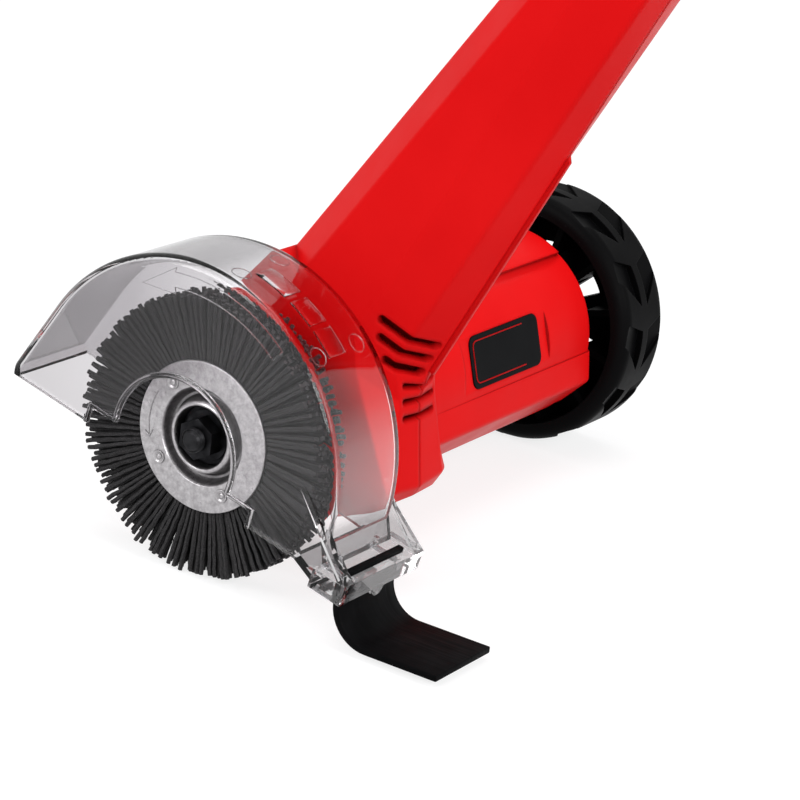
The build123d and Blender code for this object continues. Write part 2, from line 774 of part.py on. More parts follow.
def brush_side(half):
    """Brush-side half of the housing, with the seats of the spindle, the countershaft and the guard."""
    boss_end = SPINDLE_GEAR - GEAR_GAP
    screw_bore = SCREW_RADIUS + SCREW_FIT
    for y, z in HOUSING_SCREWS:
        half += x_bar(BOSS_RADIUS, INNER_FACE - CUT, 0, y, z)
    half += x_bar(SPINDLE_BEARING_RADIUS + BEARING_BOSS, INNER_FACE - CUT, boss_end)
    half += x_bar(BUSH_RADIUS + BUSH_BOSS, INNER_FACE - CUT, boss_end, 0, CENTRE_DISTANCE)
    for y, z in guard_screw_places():
        half += x_bar(BOSS_RADIUS, INNER_FACE - CUT, INNER_FACE + GUARD_BOSS_LENGTH, y, z)

    half -= x_bar(SPINDLE_BEARING_RADIUS + SEAT_FIT, FRONT_BEARING, SPINDLE_GEAR)
    half -= x_bar(SPINDLE_HOLE, -HALF_WIDTH - CUT, FRONT_BEARING + CUT)
    half -= x_bar(BUSH_RADIUS + SEAT_FIT, INNER_FACE, SPINDLE_GEAR, 0, CENTRE_DISTANCE)
    for y, z in HOUSING_SCREWS:
        half -= x_bar(screw_bore, -SCREW_REACH - CUT, CUT, y, z)
    for y, z in guard_screw_places():
        half -= x_bar(screw_bore, -HALF_WIDTH - CUT, GUARD_BACK + GUARD_SCREW_LENGTH, y, z)
    return half


def wheel_side(half):
    """Wheel-side half of the housing, with the motor barrel and the seat of the axle."""
    half += seam_lip()
    for y, z in HOUSING_SCREWS:
        half += x_bar(BOSS_RADIUS, 0, -INNER_FACE + CUT, y, z)
    half += x_bar(MOTOR_BEARING_RADIUS + BEARING_BOSS, REAR_BEARING, BARREL_END - CUT)
    rib = block(
        (STACK, STACK_END),
        (-STATOR_RIB_WIDTH / 2, STATOR_RIB_WIDTH / 2),
        (STATOR_RADIUS + SLIDE_GAP / 2, BARREL_INNER + CUT / 2),
    )
    half += turned_about_spindle(rib, STATOR_RIBS, STATOR_RIB_FIRST)

    for y, z in HOUSING_SCREWS:
        half -= x_bar(SCREW_RADIUS + SCREW_FIT, -CUT, HALF_WIDTH, y, z)
        half -= x_bar(SCREW_HEAD + SLIDE_GAP, HALF_WIDTH - SCREW_SINK, HALF_WIDTH + CUT, y, z)
    half -= x_bar(MOTOR_BEARING_RADIUS + SEAT_FIT, REAR_BEARING - CUT, REAR_BEARING_END)
    half -= x_bar(CORE_SHAFT_RADIUS, REAR_BEARING_END - CUT, SHAFT_END + CUT)
    half -= x_bar(AXLE_RADIUS, AXLE_START, BARREL_END + CUT)
    return half - tube_screw_holes()


def housing_halves():
    """The two moulded halves of the housing."""
    skin = housing_skin()
    far = BARREL_END * 2
    across = (-FOOT_REACH * 2, FOOT_REACH * 2)
    tall = (-FOOT_REACH * 2, NECK_TOP * 2)
    near_half = skin & block((-far, -SEAM_GAP / 2), across, tall)
    far_half = skin & block((SEAM_GAP / 2, far), across, tall)
    return brush_side(near_half), wheel_side(far_half)


def housing_screw_set():
    """Screws that hold the two halves together, driven from the wheel side."""
    under_head = HALF_WIDTH - SCREW_SINK
    return [
        cheese_screw(SCREW_RADIUS, SCREW_HEAD, SCREW_HEAD_THICK, under_head, -SCREW_REACH, y, z)
        for y, z in HOUSING_SCREWS
    ]


def tube_screw_set():
    """Short screws through the neck into the wall of the pole, driven from the wheel side."""
    under_head = HALF_WIDTH - TUBE_SCREW_SINK
    tip = LOWER_TUBE_BORE + SLIDE_GAP
    return [
        cheese_screw(TUBE_SCREW_RADIUS, TUBE_SCREW_HEAD, TUBE_SCREW_SINK, under_head, tip, POLE_Y, height)
        for height in tube_screw_heights()
    ]


def lower_tube():
    """Lower tube of the pole, drilled for its screws."""
    tube = z_ring(LOWER_TUBE_RADIUS, LOWER_TUBE_BORE, LOWER_TUBE_FOOT, LOWER_TUBE_TOP)
    for height in tube_screw_heights():
        tube -= x_bar(TUBE_SCREW_RADIUS + SCREW_FIT, 0, HALF_WIDTH, POLE_Y, height)
    return tube


def gear_plate():
    """Plate between the two gear stages, which carries the inner end of the spindle."""
    plate = x_bar(BARREL_INNER - SLIDE_GAP, GEAR_PLATE, GEAR_PLATE + SPINDLE_BEARING_WIDTH)
    plate -= x_bar(SPINDLE_BEARING_RADIUS + SEAT_FIT, GEAR_PLATE - CUT, COUNTER_GEAR)
    return plate - x_bar(COUNTER_RADIUS + LOOSE_GAP, GEAR_PLATE - CUT, COUNTER_GEAR, 0, CENTRE_DISTANCE)


def motor_plate():
    """Plate at the front of the motor, which carries its bearing and the end of the countershaft."""
    plate = x_bar(BARREL_INNER - SLIDE_GAP, MOTOR_PLATE, MOTOR_PLATE_END)
    plate -= x_bar(MOTOR_BEARING_RADIUS + SEAT_FIT, FRONT_MOTOR_BEARING, FAN)
    plate -= x_bar(MOTOR_SHAFT_RADIUS + LOOSE_GAP, MOTOR_PLATE - CUT, FAN)
    return plate - x_bar(BUSH_RADIUS + SEAT_FIT, MOTOR_PLATE - CUT, counter_end(), 0, CENTRE_DISTANCE)


def counter_end():
    """Far end of the countershaft's seat in the motor plate."""
    return MOTOR_PLATE_END - BUSH_BOSS / 2


def spindle():
    """Spindle with a flange for the brush and a threaded stud at its end."""
    running = SPINDLE_RADIUS - RUN_FIT
    shaft = x_bar(running, FRONT_BEARING - SLIDE_GAP, GEAR_PLATE + SPINDLE_BEARING_WIDTH)
    collar = x_bar(SPINDLE_COLLAR, FLANGE_FACE, FRONT_BEARING - SLIDE_GAP)
    flange = x_bar(SPINDLE_FLANGE, FLANGE_FACE, FLANGE_FACE + SPINDLE_FLANGE_THICK)
    stud = x_bar(STUD_RADIUS, STUD_END, FLANGE_FACE)
    stud = chamfer(stud.faces().sort_by(Axis.X)[0].edges(), EDGE_BREAK)
    return shaft + collar + flange + stud


def countershaft():
    """Countershaft with its pinion cut on it."""
    end = counter_end() - SLIDE_GAP
    shaft = x_bar(COUNTER_RADIUS - RUN_FIT, INNER_FACE + SLIDE_GAP, end, 0, CENTRE_DISTANCE)
    first = 270 + 180 / COUNTER_PINION_TEETH
    start = SPINDLE_GEAR - PINION_OVERHANG
    pinion_end = SPINDLE_GEAR + SPINDLE_GEAR_WIDTH + PINION_OVERHANG
    pinion = Pos(0, 0, CENTRE_DISTANCE) * slab(tooth_outline(COUNTER_PINION_TEETH, first), start, pinion_end)
    return shaft + pinion


def countershaft_bushes():
    """Plain bushes at the two ends of the countershaft."""
    spans = (
        (INNER_FACE, SPINDLE_GEAR - GEAR_GAP),
        (MOTOR_PLATE, counter_end()),
    )
    return [x_ring(BUSH_RADIUS, COUNTER_RADIUS, start, end, 0, CENTRE_DISTANCE) for start, end in spans]


def motor_shaft():
    """Armature shaft, stepped down for the pinion and the bearings."""
    running = MOTOR_SHAFT_RADIUS - RUN_FIT
    front = x_bar(PINION_BORE, COUNTER_GEAR - PINION_OVERHANG, MOTOR_PLATE + GEAR_GAP)
    neck_part = x_bar(running, MOTOR_PLATE + GEAR_GAP / 2, MOTOR_PLATE_END + GEAR_GAP)
    core = x_bar(CORE_SHAFT_RADIUS, MOTOR_PLATE_END + GEAR_GAP, REAR_BEARING - GEAR_GAP)
    tail = x_bar(running, REAR_BEARING - GEAR_GAP, SHAFT_END)
    return front + neck_part + core + tail


def cooling_fan():
    """Radial fan on the armature shaft."""
    hub = x_bar(FAN_HUB, FAN, FAN + FAN_WIDTH)
    disc = x_bar(FAN_RADIUS, FAN, FAN + FAN_DISC)
    blade = block(
        (FAN, FAN + FAN_WIDTH),
        (-FAN_BLADE / 2, FAN_BLADE / 2),
        (FAN_HUB - CUT, FAN_RADIUS - FAN_BLADE),
    )
    wheel = hub + disc + turned_about_spindle(blade, FAN_BLADES)
    return wheel - x_bar(CORE_SHAFT_RADIUS, FAN - CUT, FAN + FAN_WIDTH + CUT)


def armature_core():
    """Slotted stack of sheets on the shaft."""
    core = x_bar(ARMATURE_RADIUS, STACK, STACK_END)
    slot = block(
        (STACK - CUT, STACK_END + CUT),
        (-ARMATURE_SLOT_WIDTH / 2, ARMATURE_SLOT_WIDTH / 2),
        (ARMATURE_RADIUS - ARMATURE_SLOT_DEPTH, ARMATURE_RADIUS + CUT),
    )
    core -= turned_about_spindle(slot, ARMATURE_SLOTS)
    return core - x_bar(CORE_SHAFT_RADIUS, STACK - CUT, STACK_END + CUT)


def armature_windings():
    """Wound copper at the two ends of the armature."""
    return [
        x_ring(WINDING_RADIUS, CORE_SHAFT_RADIUS, STACK - WINDING_END, STACK),
        x_ring(WINDING_RADIUS, CORE_SHAFT_RADIUS, STACK_END, STACK_END + WINDING_END),
    ]


def stator_core():
    """Two-pole stack of sheets round the armature."""
    bore = ARMATURE_RADIUS + AIR_GAP
    yoke = Circle(STATOR_RADIUS) - Circle(STATOR_RADIUS - STATOR_YOKE)
    poles = Rectangle(POLE_WIDTH, STATOR_RADIUS * 2) & Circle(STATOR_RADIUS)
    return slab(yoke + poles - Circle(bore), STACK, STACK_END)


def field_coils():
    """A copper coil round each pole."""
    half = POLE_WIDTH / 2
    outside = block(
        (STACK - COIL_END, STACK_END + COIL_END),
        (-half - COIL_THICK, half + COIL_THICK),
        (CUT, STATOR_RADIUS),
    )
    window = block(
        (STACK - SLIDE_GAP, STACK_END + SLIDE_GAP),
        (-half - SLIDE_GAP, half + SLIDE_GAP),
        (0, STATOR_RADIUS * 2),
    )
    space = x_ring(
        STATOR_RADIUS - STATOR_YOKE - SLIDE_GAP,
        ARMATURE_RADIUS + AIR_GAP + SLIDE_GAP,
        STACK - COIL_END * 2,
        STACK_END + COIL_END * 2,
    )
    coil = (outside - window) & space
    return [coil, Rot(180, 0, 0) * coil]


def carbon_pieces():
    """Carbon contacts and the holders that guide them, on opposite sides of the commutator."""
    middle = COMMUTATOR + COMMUTATOR_LENGTH / 2
    across = (middle - CARBON_WIDTH / 2, middle + CARBON_WIDTH / 2)
    tall = (-CARBON_HEIGHT / 2, CARBON_HEIGHT / 2)
    start = COMMUTATOR_RADIUS + SLIDE_GAP
    carbon = block(across, (start, start + CARBON_LENGTH), tall)
    outer_tall = CARBON_HEIGHT / 2 + HOLDER_WALL
    reach = math.sqrt(BARREL_INNER**2 - outer_tall**2) - SLIDE_GAP
    holder = block(
        (across[0] - HOLDER_WALL, across[1] + HOLDER_WALL),
        (HOLDER_START, reach),
        (-outer_tall, outer_tall),
    )
    room = block(
        (across[0] - SCREW_FIT, across[1] + SCREW_FIT),
        (0, reach - HOLDER_WALL),
        (tall[0] - SCREW_FIT, tall[1] + SCREW_FIT),
    )
    holder -= room
    half_turn = Rot(180, 0, 0)
    return [carbon, half_turn * carbon], [holder, half_turn * holder]


def hub_plate():
    """Pressed steel plate on the near side of the brush, with a groove and a turned-in collar."""
    back = HUB_SHEET
    floor = HUB_NEAR + HUB_GROOVE_DEPTH
    inner = COLLAR_RADIUS - HUB_SHEET
    tail = BRUSH_MID - SLIDE_GAP / 2
    section = outline_of(
        [
            (HUB_NEAR, HUB_RADIUS),
            (HUB_NEAR, HUB_GROOVE_OUTER),
            (floor, HUB_GROOVE_OUTER - HUB_SHEET / 2),
            (floor, HUB_GROOVE_INNER + HUB_SHEET / 2),
            (HUB_NEAR - COLLAR_PROUD, HUB_GROOVE_INNER),
            (HUB_NEAR - COLLAR_PROUD, inner),
            (tail, inner),
            (tail, COLLAR_RADIUS),
            (floor + back, COLLAR_RADIUS),
            (floor + back, HUB_GROOVE_OUTER + HUB_SHEET / 2),
            (HUB_NEAR + back, HUB_GROOVE_OUTER + HUB_SHEET * 1.5),
            (HUB_NEAR + back, HUB_RADIUS),
        ]
    )
    return revolve(section, Axis.X)


def strand(row_x, tip_x, turn, tip_turn):
    """One square strand, from inside its backing to the rim of the brush."""
    root = Vector(row_x, 0, STRAND_ROOT).rotate(Axis.X, turn)
    tip = Vector(tip_x, 0, BRUSH_RADIUS).rotate(Axis.X, tip_turn)
    lean = tip - root
    side = Vector(1, 0, 0)
    across = side - lean * (side.dot(lean) / lean.length**2)
    section = Plane(root, x_dir=across, z_dir=lean) * Rectangle(STRAND_WIDTH, STRAND_WIDTH)
    return extrude(section, amount=lean.length - STRAND_WIDTH / 2)


def bristles(row_numbers):
    """Rows of strands fused to the slice of their backing that the hub plates grip."""
    step = 360.0 / STRANDS_A_ROW
    strands = []
    for row in row_numbers:
        side = (row + 0.5) / STRAND_ROWS - 0.5
        for place in range(STRANDS_A_ROW):
            splay = STRAND_SPLAY * (1 + STRAND_JITTER / 2 * math.sin(place * SPLAY_WAVE + row))
            turn = (place + row / STRAND_ROWS) * step
            tip_turn = turn + STRAND_JITTER * step * math.sin(place * TURN_WAVE + row)
            root_x = BRUSH_MID + STRAND_SPREAD * side
            strands.append(strand(root_x, BRUSH_MID + splay * side, turn, tip_turn))
    slice_width = HUB_GRIP / STRAND_ROWS
    start = GRIP_NEAR + slice_width * min(row_numbers)
    end = GRIP_NEAR + slice_width * (max(row_numbers) + 1)
    return x_ring(BACKING_OUTER, BACKING_INNER, start, end).fuse(*strands)


def guard_outline(inset, skirt):
    """Side view of the guard in its own frame: round on top, a straight nose, a level skirt."""
    radius = GUARD_RADIUS - inset
    tip_angle = math.atan2(-GUARD_TIP_DROP, GUARD_TIP_REACH)
    leave = tip_angle + math.acos(GUARD_RADIUS / math.hypot(GUARD_TIP_REACH, GUARD_TIP_DROP))
    join = (radius * math.cos(leave), radius * math.sin(leave))
    tip = (GUARD_TIP_REACH - inset * math.cos(leave), -GUARD_TIP_DROP - inset * math.sin(leave))
    chin = (GUARD_CHIN_REACH - inset, -skirt)
    heel = (-GUARD_HEEL_REACH + inset, -skirt)
    arc = ThreePointArc(join, (0, radius), (-radius, 0))
    return make_face([arc, Polyline((-radius, 0), heel, chin, tip, join)])


def guard_screw_places():
    """Places of the guard's screws, in the tool's frame."""
    angles = [math.radians(angle + GUARD_TURN) for angle in GUARD_SCREW_ANGLES]
    return [(GUARD_SCREW_CIRCLE * math.cos(a), GUARD_SCREW_CIRCLE * math.sin(a)) for a in angles]


def guard_hood(inset, skirt):
    """Guard as a closed form in its own frame, drawn in by inset, with its upper rims rounded."""
    hood = slab(guard_outline(inset, skirt), GUARD_FRONT + inset, GUARD_BACK - inset)
    rims = [edge for edge in hood.faces().filter_by(Axis.X).edges() if edge.center().Z > 0]
    return fillet(rims, GUARD_EDGE - inset)


def flap_holder():
    """Holder behind the guard's heel in the guard's frame: a bar on two cheeks, a toe and two side fins."""
    ends = (GUARD_FRONT - HOLDER_OVERHANG, GUARD_BACK + HOLDER_OVERHANG)
    middle = (GUARD_FRONT + GUARD_BACK) / 2
    holder = block(ends, (-HOLDER_BACK, -HOLDER_FRONT), (-HOLDER_FOOT, -HOLDER_TOP))
    holder += y_bar(NUB_RADIUS, -HOLDER_BACK, -HOLDER_BACK + GUARD_WALL, middle, -HOLDER_FOOT)
    toe = outline_of(
        [
            (-TOE_REACH, -GUARD_SKIRT),
            (-HOLDER_FRONT, -HOLDER_FOOT),
            (-HOLDER_FRONT, -HOLDER_FOOT + GUARD_WALL),
            (-TOE_REACH, -GUARD_SKIRT + GUARD_WALL),
        ]
    )
    holder += slab(toe, GUARD_FRONT, GUARD_BACK)
    high = (-GUSSET_REACH, GUSSET_HEIGHT)
    low = (-HOLDER_BACK, -HOLDER_TOP)
    cheek = outline_of([high, low, (-HOLDER_FRONT, -HOLDER_TOP)])
    slope = Vector(0, low[0] - high[0], low[1] - high[1])
    far_start = slope.length * (HOLDER_FRONT - GUSSET_REACH) / (HOLDER_BACK - GUSSET_REACH)
    for face, side_sign, start in ((GUARD_FRONT, -1, 0), (GUARD_BACK, 1, far_start)):
        inside = -side_sign * GUARD_WALL
        holder += slab(cheek, min(face, face + inside), max(face, face + inside))
        end = side_sign * HOLDER_OVERHANG
        fin = outline_of([(start, inside), (start, 0), (slope.length, end), (slope.length, inside)])
        plane = Plane((face, high[0], high[1]), x_dir=slope, z_dir=(0, slope.Z, -slope.Y))
        holder += extrude(plane * fin, amount=-GUARD_WALL)
    return holder


def guard():
    """Clear guard over the brush, with the holder for the flap at its heel."""
    hood = guard_hood(0, GUARD_SKIRT) - guard_hood(GUARD_WALL, GUARD_SKIRT + CUT)
    notch_middle = -GUARD_SKIRT - CUT + (GUARD_NOTCH_DEPTH + CUT) / 2
    notch = Pos(0, notch_middle) * Rectangle(GUARD_NOTCH_HALF * 2, GUARD_NOTCH_DEPTH + CUT)
    hood -= slab(Circle(GUARD_MOUTH) + notch, GUARD_FRONT - CUT, GUARD_FRONT + GUARD_WALL + CUT)
    back_notch = Pos(0, -GUARD_SKIRT / 2) * Rectangle(GUARD_MOUTH_BACK * 2, GUARD_SKIRT + CUT)
    hood -= slab(Circle(GUARD_MOUTH_BACK) + back_notch, GUARD_BACK - GUARD_WALL - CUT, GUARD_BACK + CUT)
    slot = block(
        (FLAP_NEAR - SCREW_FIT, FLAP_FAR + SCREW_FIT),
        (-FLAP_PLANE - FLAP_THICK / 2 - SCREW_FIT, -FLAP_PLANE + FLAP_THICK / 2 + SCREW_FIT),
        (-HOLDER_FOOT - CUT, -FLAP_TOP + CUT),
    )
    body = hood + flap_holder() - slot
    for x in rivet_places():
        body -= rivet(x, SEAT_FIT)
    body = GUARD_FRAME * body
    for y, z in guard_screw_places():
        body -= x_bar(SCREW_RADIUS + SCREW_FIT, GUARD_BACK - GUARD_WALL - CUT, GUARD_BACK + CUT, y, z)
    return body


def guard_screw_set():
    """Screws through the back wall of the guard into the housing."""
    under_head = GUARD_BACK - GUARD_WALL
    tip = GUARD_BACK + GUARD_SCREW_LENGTH - SLIDE_GAP
    return [
        cheese_screw(SCREW_RADIUS, SCREW_HEAD, SCREW_HEAD_THICK, under_head, tip, y, z)
        for y, z in guard_screw_places()
    ]


def rivet_places():
    """Places of the flap's rivets along the holder."""
    middle = (FLAP_NEAR + FLAP_FAR) / 2
    return (middle - RIVET_SPREAD / 2, middle + RIVET_SPREAD / 2)


def rivet(x, room):
    """One rivet from the holder's front through the flap, in the guard's frame, or its hole with room."""
    height = -HOLDER_TOP - RIVET_HEAD - SLIDE_GAP
    shank = y_bar(RIVET_RADIUS + room, -HOLDER_BACK + RIVET_BLIND - room, -HOLDER_FRONT, x, height)
    under_head = -HOLDER_FRONT - RIVET_HEAD_THICK - room
    return shank + y_bar(RIVET_HEAD + room, under_head, -HOLDER_FRONT + room, x, height)


def over_floor(y, z):
    """A place in the guard's side view, as set over the floor."""
    lean = math.radians(POLE_LEAN + GUARD_TURN)
    back = y * math.cos(lean) - z * math.sin(lean)
    return back, BRUSH_RADIUS + y * math.sin(lean) + z * math.cos(lean)


def flap():
    """Rubber flap that hangs from the holder and trails behind the brush."""
    top = over_floor(-FLAP_PLANE, -FLAP_TOP)
    foot = over_floor(-FLAP_PLANE, -HOLDER_FOOT)
    corner = between(top[0], foot[0], (top[1] - FLAP_LOW) / (top[1] - foot[1]))
    path = FilletPolyline(top, (corner, FLAP_LOW), (FLAP_TIP_REACH, FLAP_TIP_HEIGHT), radius=FLAP_BEND)
    sheet = FROM_FLOOR * slab(trace(path, FLAP_THICK), FLAP_NEAR, FLAP_FAR)
    for x in rivet_places():
        sheet -= GUARD_FRAME * rivet(x, SEAT_FIT)
    return sheet


def flap_rivets():
    """Rivets that hold the flap."""
    return [GUARD_FRAME * rivet(x, 0) for x in rivet_places()]


def tread_pocket():
    """Slanting pocket in the tread, which deepens towards the middle of the wheel."""
    outer = WHEEL_NEAR + POCKET_OUTER
    inner = WHEEL_NEAR + POCKET_INNER
    corners = [(outer, angle) for angle in POCKET_OUTER_ARC]
    corners += [(inner, angle) for angle in reversed(POCKET_INNER_ARC)]
    shape = outline_of([(x, -WHEEL_RADIUS * math.radians(angle)) for x, angle in corners])
    tall = POCKET_DEPTH * 2
    column = Pos(0, 0, WHEEL_RADIUS - POCKET_DEPTH) * extrude(shape, amount=tall)
    slope = math.degrees(math.atan2(POCKET_DEPTH - POCKET_SHALLOW, inner - outer))
    floor = Box(WHEEL_WIDTH * 2, WHEEL_WIDTH * 2, tall, align=(Align.CENTER, Align.CENTER, Align.MIN))
    return column & (Pos(outer, 0, WHEEL_RADIUS - POCKET_SHALLOW) * Rot(0, slope, 0) * floor)


def wheel():
    """Moulded wheel: a treaded rim, open towards the motor, on a ribbed web."""
    rim = x_ring(WHEEL_RADIUS, WHEEL_RADIUS - TREAD_THICK, WHEEL_NEAR, WHEEL_FAR)
    crowns = [edge for edge in rim.edges().filter_by(GeomType.CIRCLE) if edge.radius > WHEEL_RADIUS - CUT]
    rim = fillet(crowns, TREAD_EDGE)
    pockets = turned_about_spindle(tread_pocket(), TREAD_POCKETS)
    rim -= pockets
    rim -= [mirror(pocket, about=Plane.YZ.offset(WHEEL_NEAR + WHEEL_WIDTH / 2)) for pocket in pockets]
    web_end = WHEEL_FAR - WEB_INSET
    web = slab(Circle(WHEEL_RADIUS - TREAD_THICK + CUT), web_end - WEB_THICK, web_end)
    window = slab(Circle(WINDOW_OUTER) - Circle(WINDOW_INNER), web_end - WEB_THICK - CUT, web_end + CUT)
    spread = 2 * WINDOW_OUTER * math.sin(math.radians(WINDOW_HALF))
    height = 2 * WINDOW_OUTER * math.cos(math.radians(WINDOW_HALF))
    wedge = outline_of([(0, 0), (spread, height), (-spread, height)])
    window &= slab(wedge, web_end - WEB_THICK - CUT, web_end + CUT)
    rib = block(
        (web_end - WEB_THICK - WHEEL_RIB_DEPTH, web_end - WEB_THICK + CUT),
        (-WHEEL_RIB / 2, WHEEL_RIB / 2),
        (WINDOW_OUTER, WHEEL_RADIUS - TREAD_THICK + CUT),
    )
    hub = x_bar(WHEEL_HUB, wheel_hub_near(), WHEEL_FAR - WHEEL_CAP_THICK)
    body = rim + (web - turned_about_spindle(window, WEB_WINDOWS, WINDOW_FIRST)) + hub
    body += turned_about_spindle(rib, WHEEL_RIBS, 180.0 / WHEEL_RIBS)
    body -= x_bar(AXLE_RADIUS + WHEEL_BUSH_WALL, wheel_hub_near() - CUT, WHEEL_FAR)
    return body - x_bar(WHEEL_NUT_ACROSS / math.sqrt(3) + LOOSE_GAP, bush_far(), WHEEL_FAR)


def wheel_hub_near():
    """Inner end of the wheel's hub, just clear of the axle's flange."""
    return BARREL_END + AXLE_FLANGE_THICK + SLIDE_GAP


def bush_far():
    """Outer end of the wheel's bush."""
    return WHEEL_FAR - WHEEL_CAP_THICK - WHEEL_NUT_ROOM


def wheel_axle():
    """Axle pressed into the end of the barrel, with a flange and an end for the nut."""
    pin = x_bar(AXLE_RADIUS, AXLE_START, bush_far() + SLIDE_GAP + WHEEL_NUT_THICK + LOOSE_GAP)
    return pin + x_bar(AXLE_FLANGE, BARREL_END, BARREL_END + AXLE_FLANGE_THICK)


def twist_nut():
    """Ribbed nut that closes the pole's clamp."""
    start = LOWER_TUBE_TOP + SLIDE_GAP
    end = LOWER_TUBE_TOP + COLLAR_NECK + TWIST_NUT_CAP
    inner = LOWER_TUBE_RADIUS + COLLAR_NECK_WALL + SLIDE_GAP
    outer = inner + TWIST_NUT_WALL
    nut = z_bar(outer, start, end)
    nut = fillet(nut.edges(), EDGE_BREAK)
    rib = Pos(outer, POLE_Y, (start + end) / 2) * Cylinder(TWIST_NUT_RIB, end - start - TWIST_NUT_CAP)
    spin = Pos(0, POLE_Y, 0)
    for step in range(TWIST_NUT_RIBS):
        nut += spin * Rot(0, 0, 360.0 * step / TWIST_NUT_RIBS) * spin.inverse() * rib
    nut -= z_bar(inner, start - CUT, LOWER_TUBE_TOP + COLLAR_NECK + SLIDE_GAP)
    return nut - z_bar(UPPER_TUBE_RADIUS + SLIDE_GAP, start - CUT, end + CUT)


def clamp_collar():
    """Collar fixed on the top of the lower tube, with the threaded neck that grips the upper tube."""
    grip = z_bar(LOWER_TUBE_RADIUS + COLLAR_WALL, LOWER_TUBE_TOP - COLLAR_GRIP, LOWER_TUBE_TOP)
    grip = fillet(grip.edges().sort_by(Axis.Z)[0], EDGE_BREAK)
    top = LOWER_TUBE_TOP + COLLAR_NECK
    body = grip + z_bar(LOWER_TUBE_RADIUS + COLLAR_NECK_WALL, LOWER_TUBE_TOP, top)
    body -= z_bar(LOWER_TUBE_RADIUS, LOWER_TUBE_TOP - COLLAR_GRIP - CUT, LOWER_TUBE_TOP)
    return body - z_bar(UPPER_TUBE_RADIUS + SLIDE_GAP, LOWER_TUBE_TOP - CUT, top + CUT)


def handle_body(inset):
    """Looped handle as a closed form, drawn in by inset all round."""
    outside = FilletPolyline(
        (SOCKET_FRONT, HANDLE_FOOT),
        (GRIP_FRONT, HANDLE_SPLAY),
        (GRIP_FRONT, HANDLE_TOP),
        (BOW_BACK, HANDLE_TOP),
        (BOW_BACK, BOW_FOOT),
        (SOCKET_BACK, HANDLE_CHEEK),
        (SOCKET_BACK, HANDLE_FOOT),
        radius=HANDLE_CORNER,
        close=True,
    )
    loop = FilletPolyline(
        (GRIP_BACK, LOOP_FOOT),
        (GRIP_BACK, LOOP_TOP),
        (BOW_FRONT, LOOP_TOP),
        (BOW_FRONT, LOOP_FOOT + LOOP_RISE),
        radius=LOOP_CORNER,
        close=True,
    )
    outline = make_face(outside)
    hole = make_face(loop)
    if inset:
        outline = offset(outline, -inset)
        hole = offset(hole, inset)
    half = HANDLE_HALF - inset
    body = slab(outline - hole, -half, half)
    return fillet(body.faces().filter_by(Axis.X).edges(), HANDLE_EDGE - inset)


def pad_space():
    """Space of the soft pad along the front of the grip."""
    return block((-HANDLE_HALF, HANDLE_HALF), (PAD_FRONT, GRIP_FRONT + CUT), (PAD_START, PAD_END))


def trigger_outline():
    """Side view of the trigger."""
    foot = TRIGGER_PIVOT_Z - TRIGGER_INNER
    return outline_of(
        [
            (TRIGGER_PIVOT_Y + TRIGGER_INNER, foot),
            (TRIGGER_PIVOT_Y - TRIGGER_INNER, foot - TRIGGER_ROUND),
            (GRIP_BACK - TRIGGER_PROUD / 2, between(TRIGGER_PIVOT_Z, TRIGGER_TIP_Z, TRIGGER_BEND_LOW)),
            (GRIP_BACK - TRIGGER_PROUD, between(TRIGGER_PIVOT_Z, TRIGGER_TIP_Z, TRIGGER_BEND_HIGH)),
            (GRIP_BACK - TRIGGER_PROUD, TRIGGER_TIP_Z),
            (TRIGGER_PIVOT_Y + TRIGGER_INNER, TRIGGER_TIP_Z),
        ]
    )


def handle_pieces():
    """The two halves of the handle and the soft pad on them."""
    outside = handle_body(0)
    pad = (outside - handle_body(PAD_THICK)) & pad_space()
    hollow = handle_body(HANDLE_WALL)
    hollow -= block(
        (-HANDLE_HALF, HANDLE_HALF),
        (BOW_BACK, GRIP_FRONT),
        (HANDLE_FOOT - CUT, UPPER_TUBE_TOP + HANDLE_WALL),
    )
    shell = outside - pad - hollow
    for y, z in HANDLE_SCREWS:
        shell += x_bar(HANDLE_BOSS, -HANDLE_HALF + HANDLE_WALL, HANDLE_HALF - HANDLE_WALL, y, z)
    inside = HANDLE_HALF - HANDLE_WALL
    for side_sign in (-1, 1):
        start = side_sign * (TRIGGER_HALF + SLIDE_GAP)
        shell += x_bar(TRIGGER_BOSS, start, side_sign * inside, TRIGGER_PIVOT_Y, TRIGGER_PIVOT_Z)
    shell -= z_bar(UPPER_TUBE_RADIUS + SEAT_FIT, HANDLE_FOOT - CUT, UPPER_TUBE_TOP)
    room = TRIGGER_HALF + SLIDE_GAP
    shell -= block(
        (-room, room),
        (GRIP_BACK - CUT, TRIGGER_PIVOT_Y + TRIGGER_BOSS),
        (TRIGGER_PIVOT_Z - TRIGGER_INNER * 2, TRIGGER_TIP_Z + TRIGGER_INNER),
    )
    shell -= x_bar(TRIGGER_PIN_RADIUS, -inside, inside, TRIGGER_PIVOT_Y, TRIGGER_PIVOT_Z)
    shell -= x_bar(BUTTON_RADIUS + SLIDE_GAP, -HANDLE_HALF - CUT, -inside + CUT, BUTTON_Y, BUTTON_Z)
    shell -= z_bar(GLAND_RADIUS + SEAT_FIT, HANDLE_TOP - HANDLE_WALL - CUT, HANDLE_TOP + CUT, 0, GLAND_Y)
    for y, z in HANDLE_SCREWS:
        shell -= x_bar(SCREW_RADIUS + SCREW_FIT, -SCREW_REACH, HANDLE_HALF + CUT, y, z)
        shell -= x_bar(SCREW_HEAD + SLIDE_GAP, HANDLE_HALF - SCREW_SINK, HANDLE_HALF + CUT, y, z)
    reach = (BOW_BACK * 2, GRIP_FRONT * 2)
    tall = (HANDLE_FOOT - CUT, HANDLE_TOP + CUT)
    left = shell & block((-HANDLE_HALF * 2, 0), reach, tall)
    right = shell & block((0, HANDLE_HALF * 2), reach, tall)
    return left, right, pad


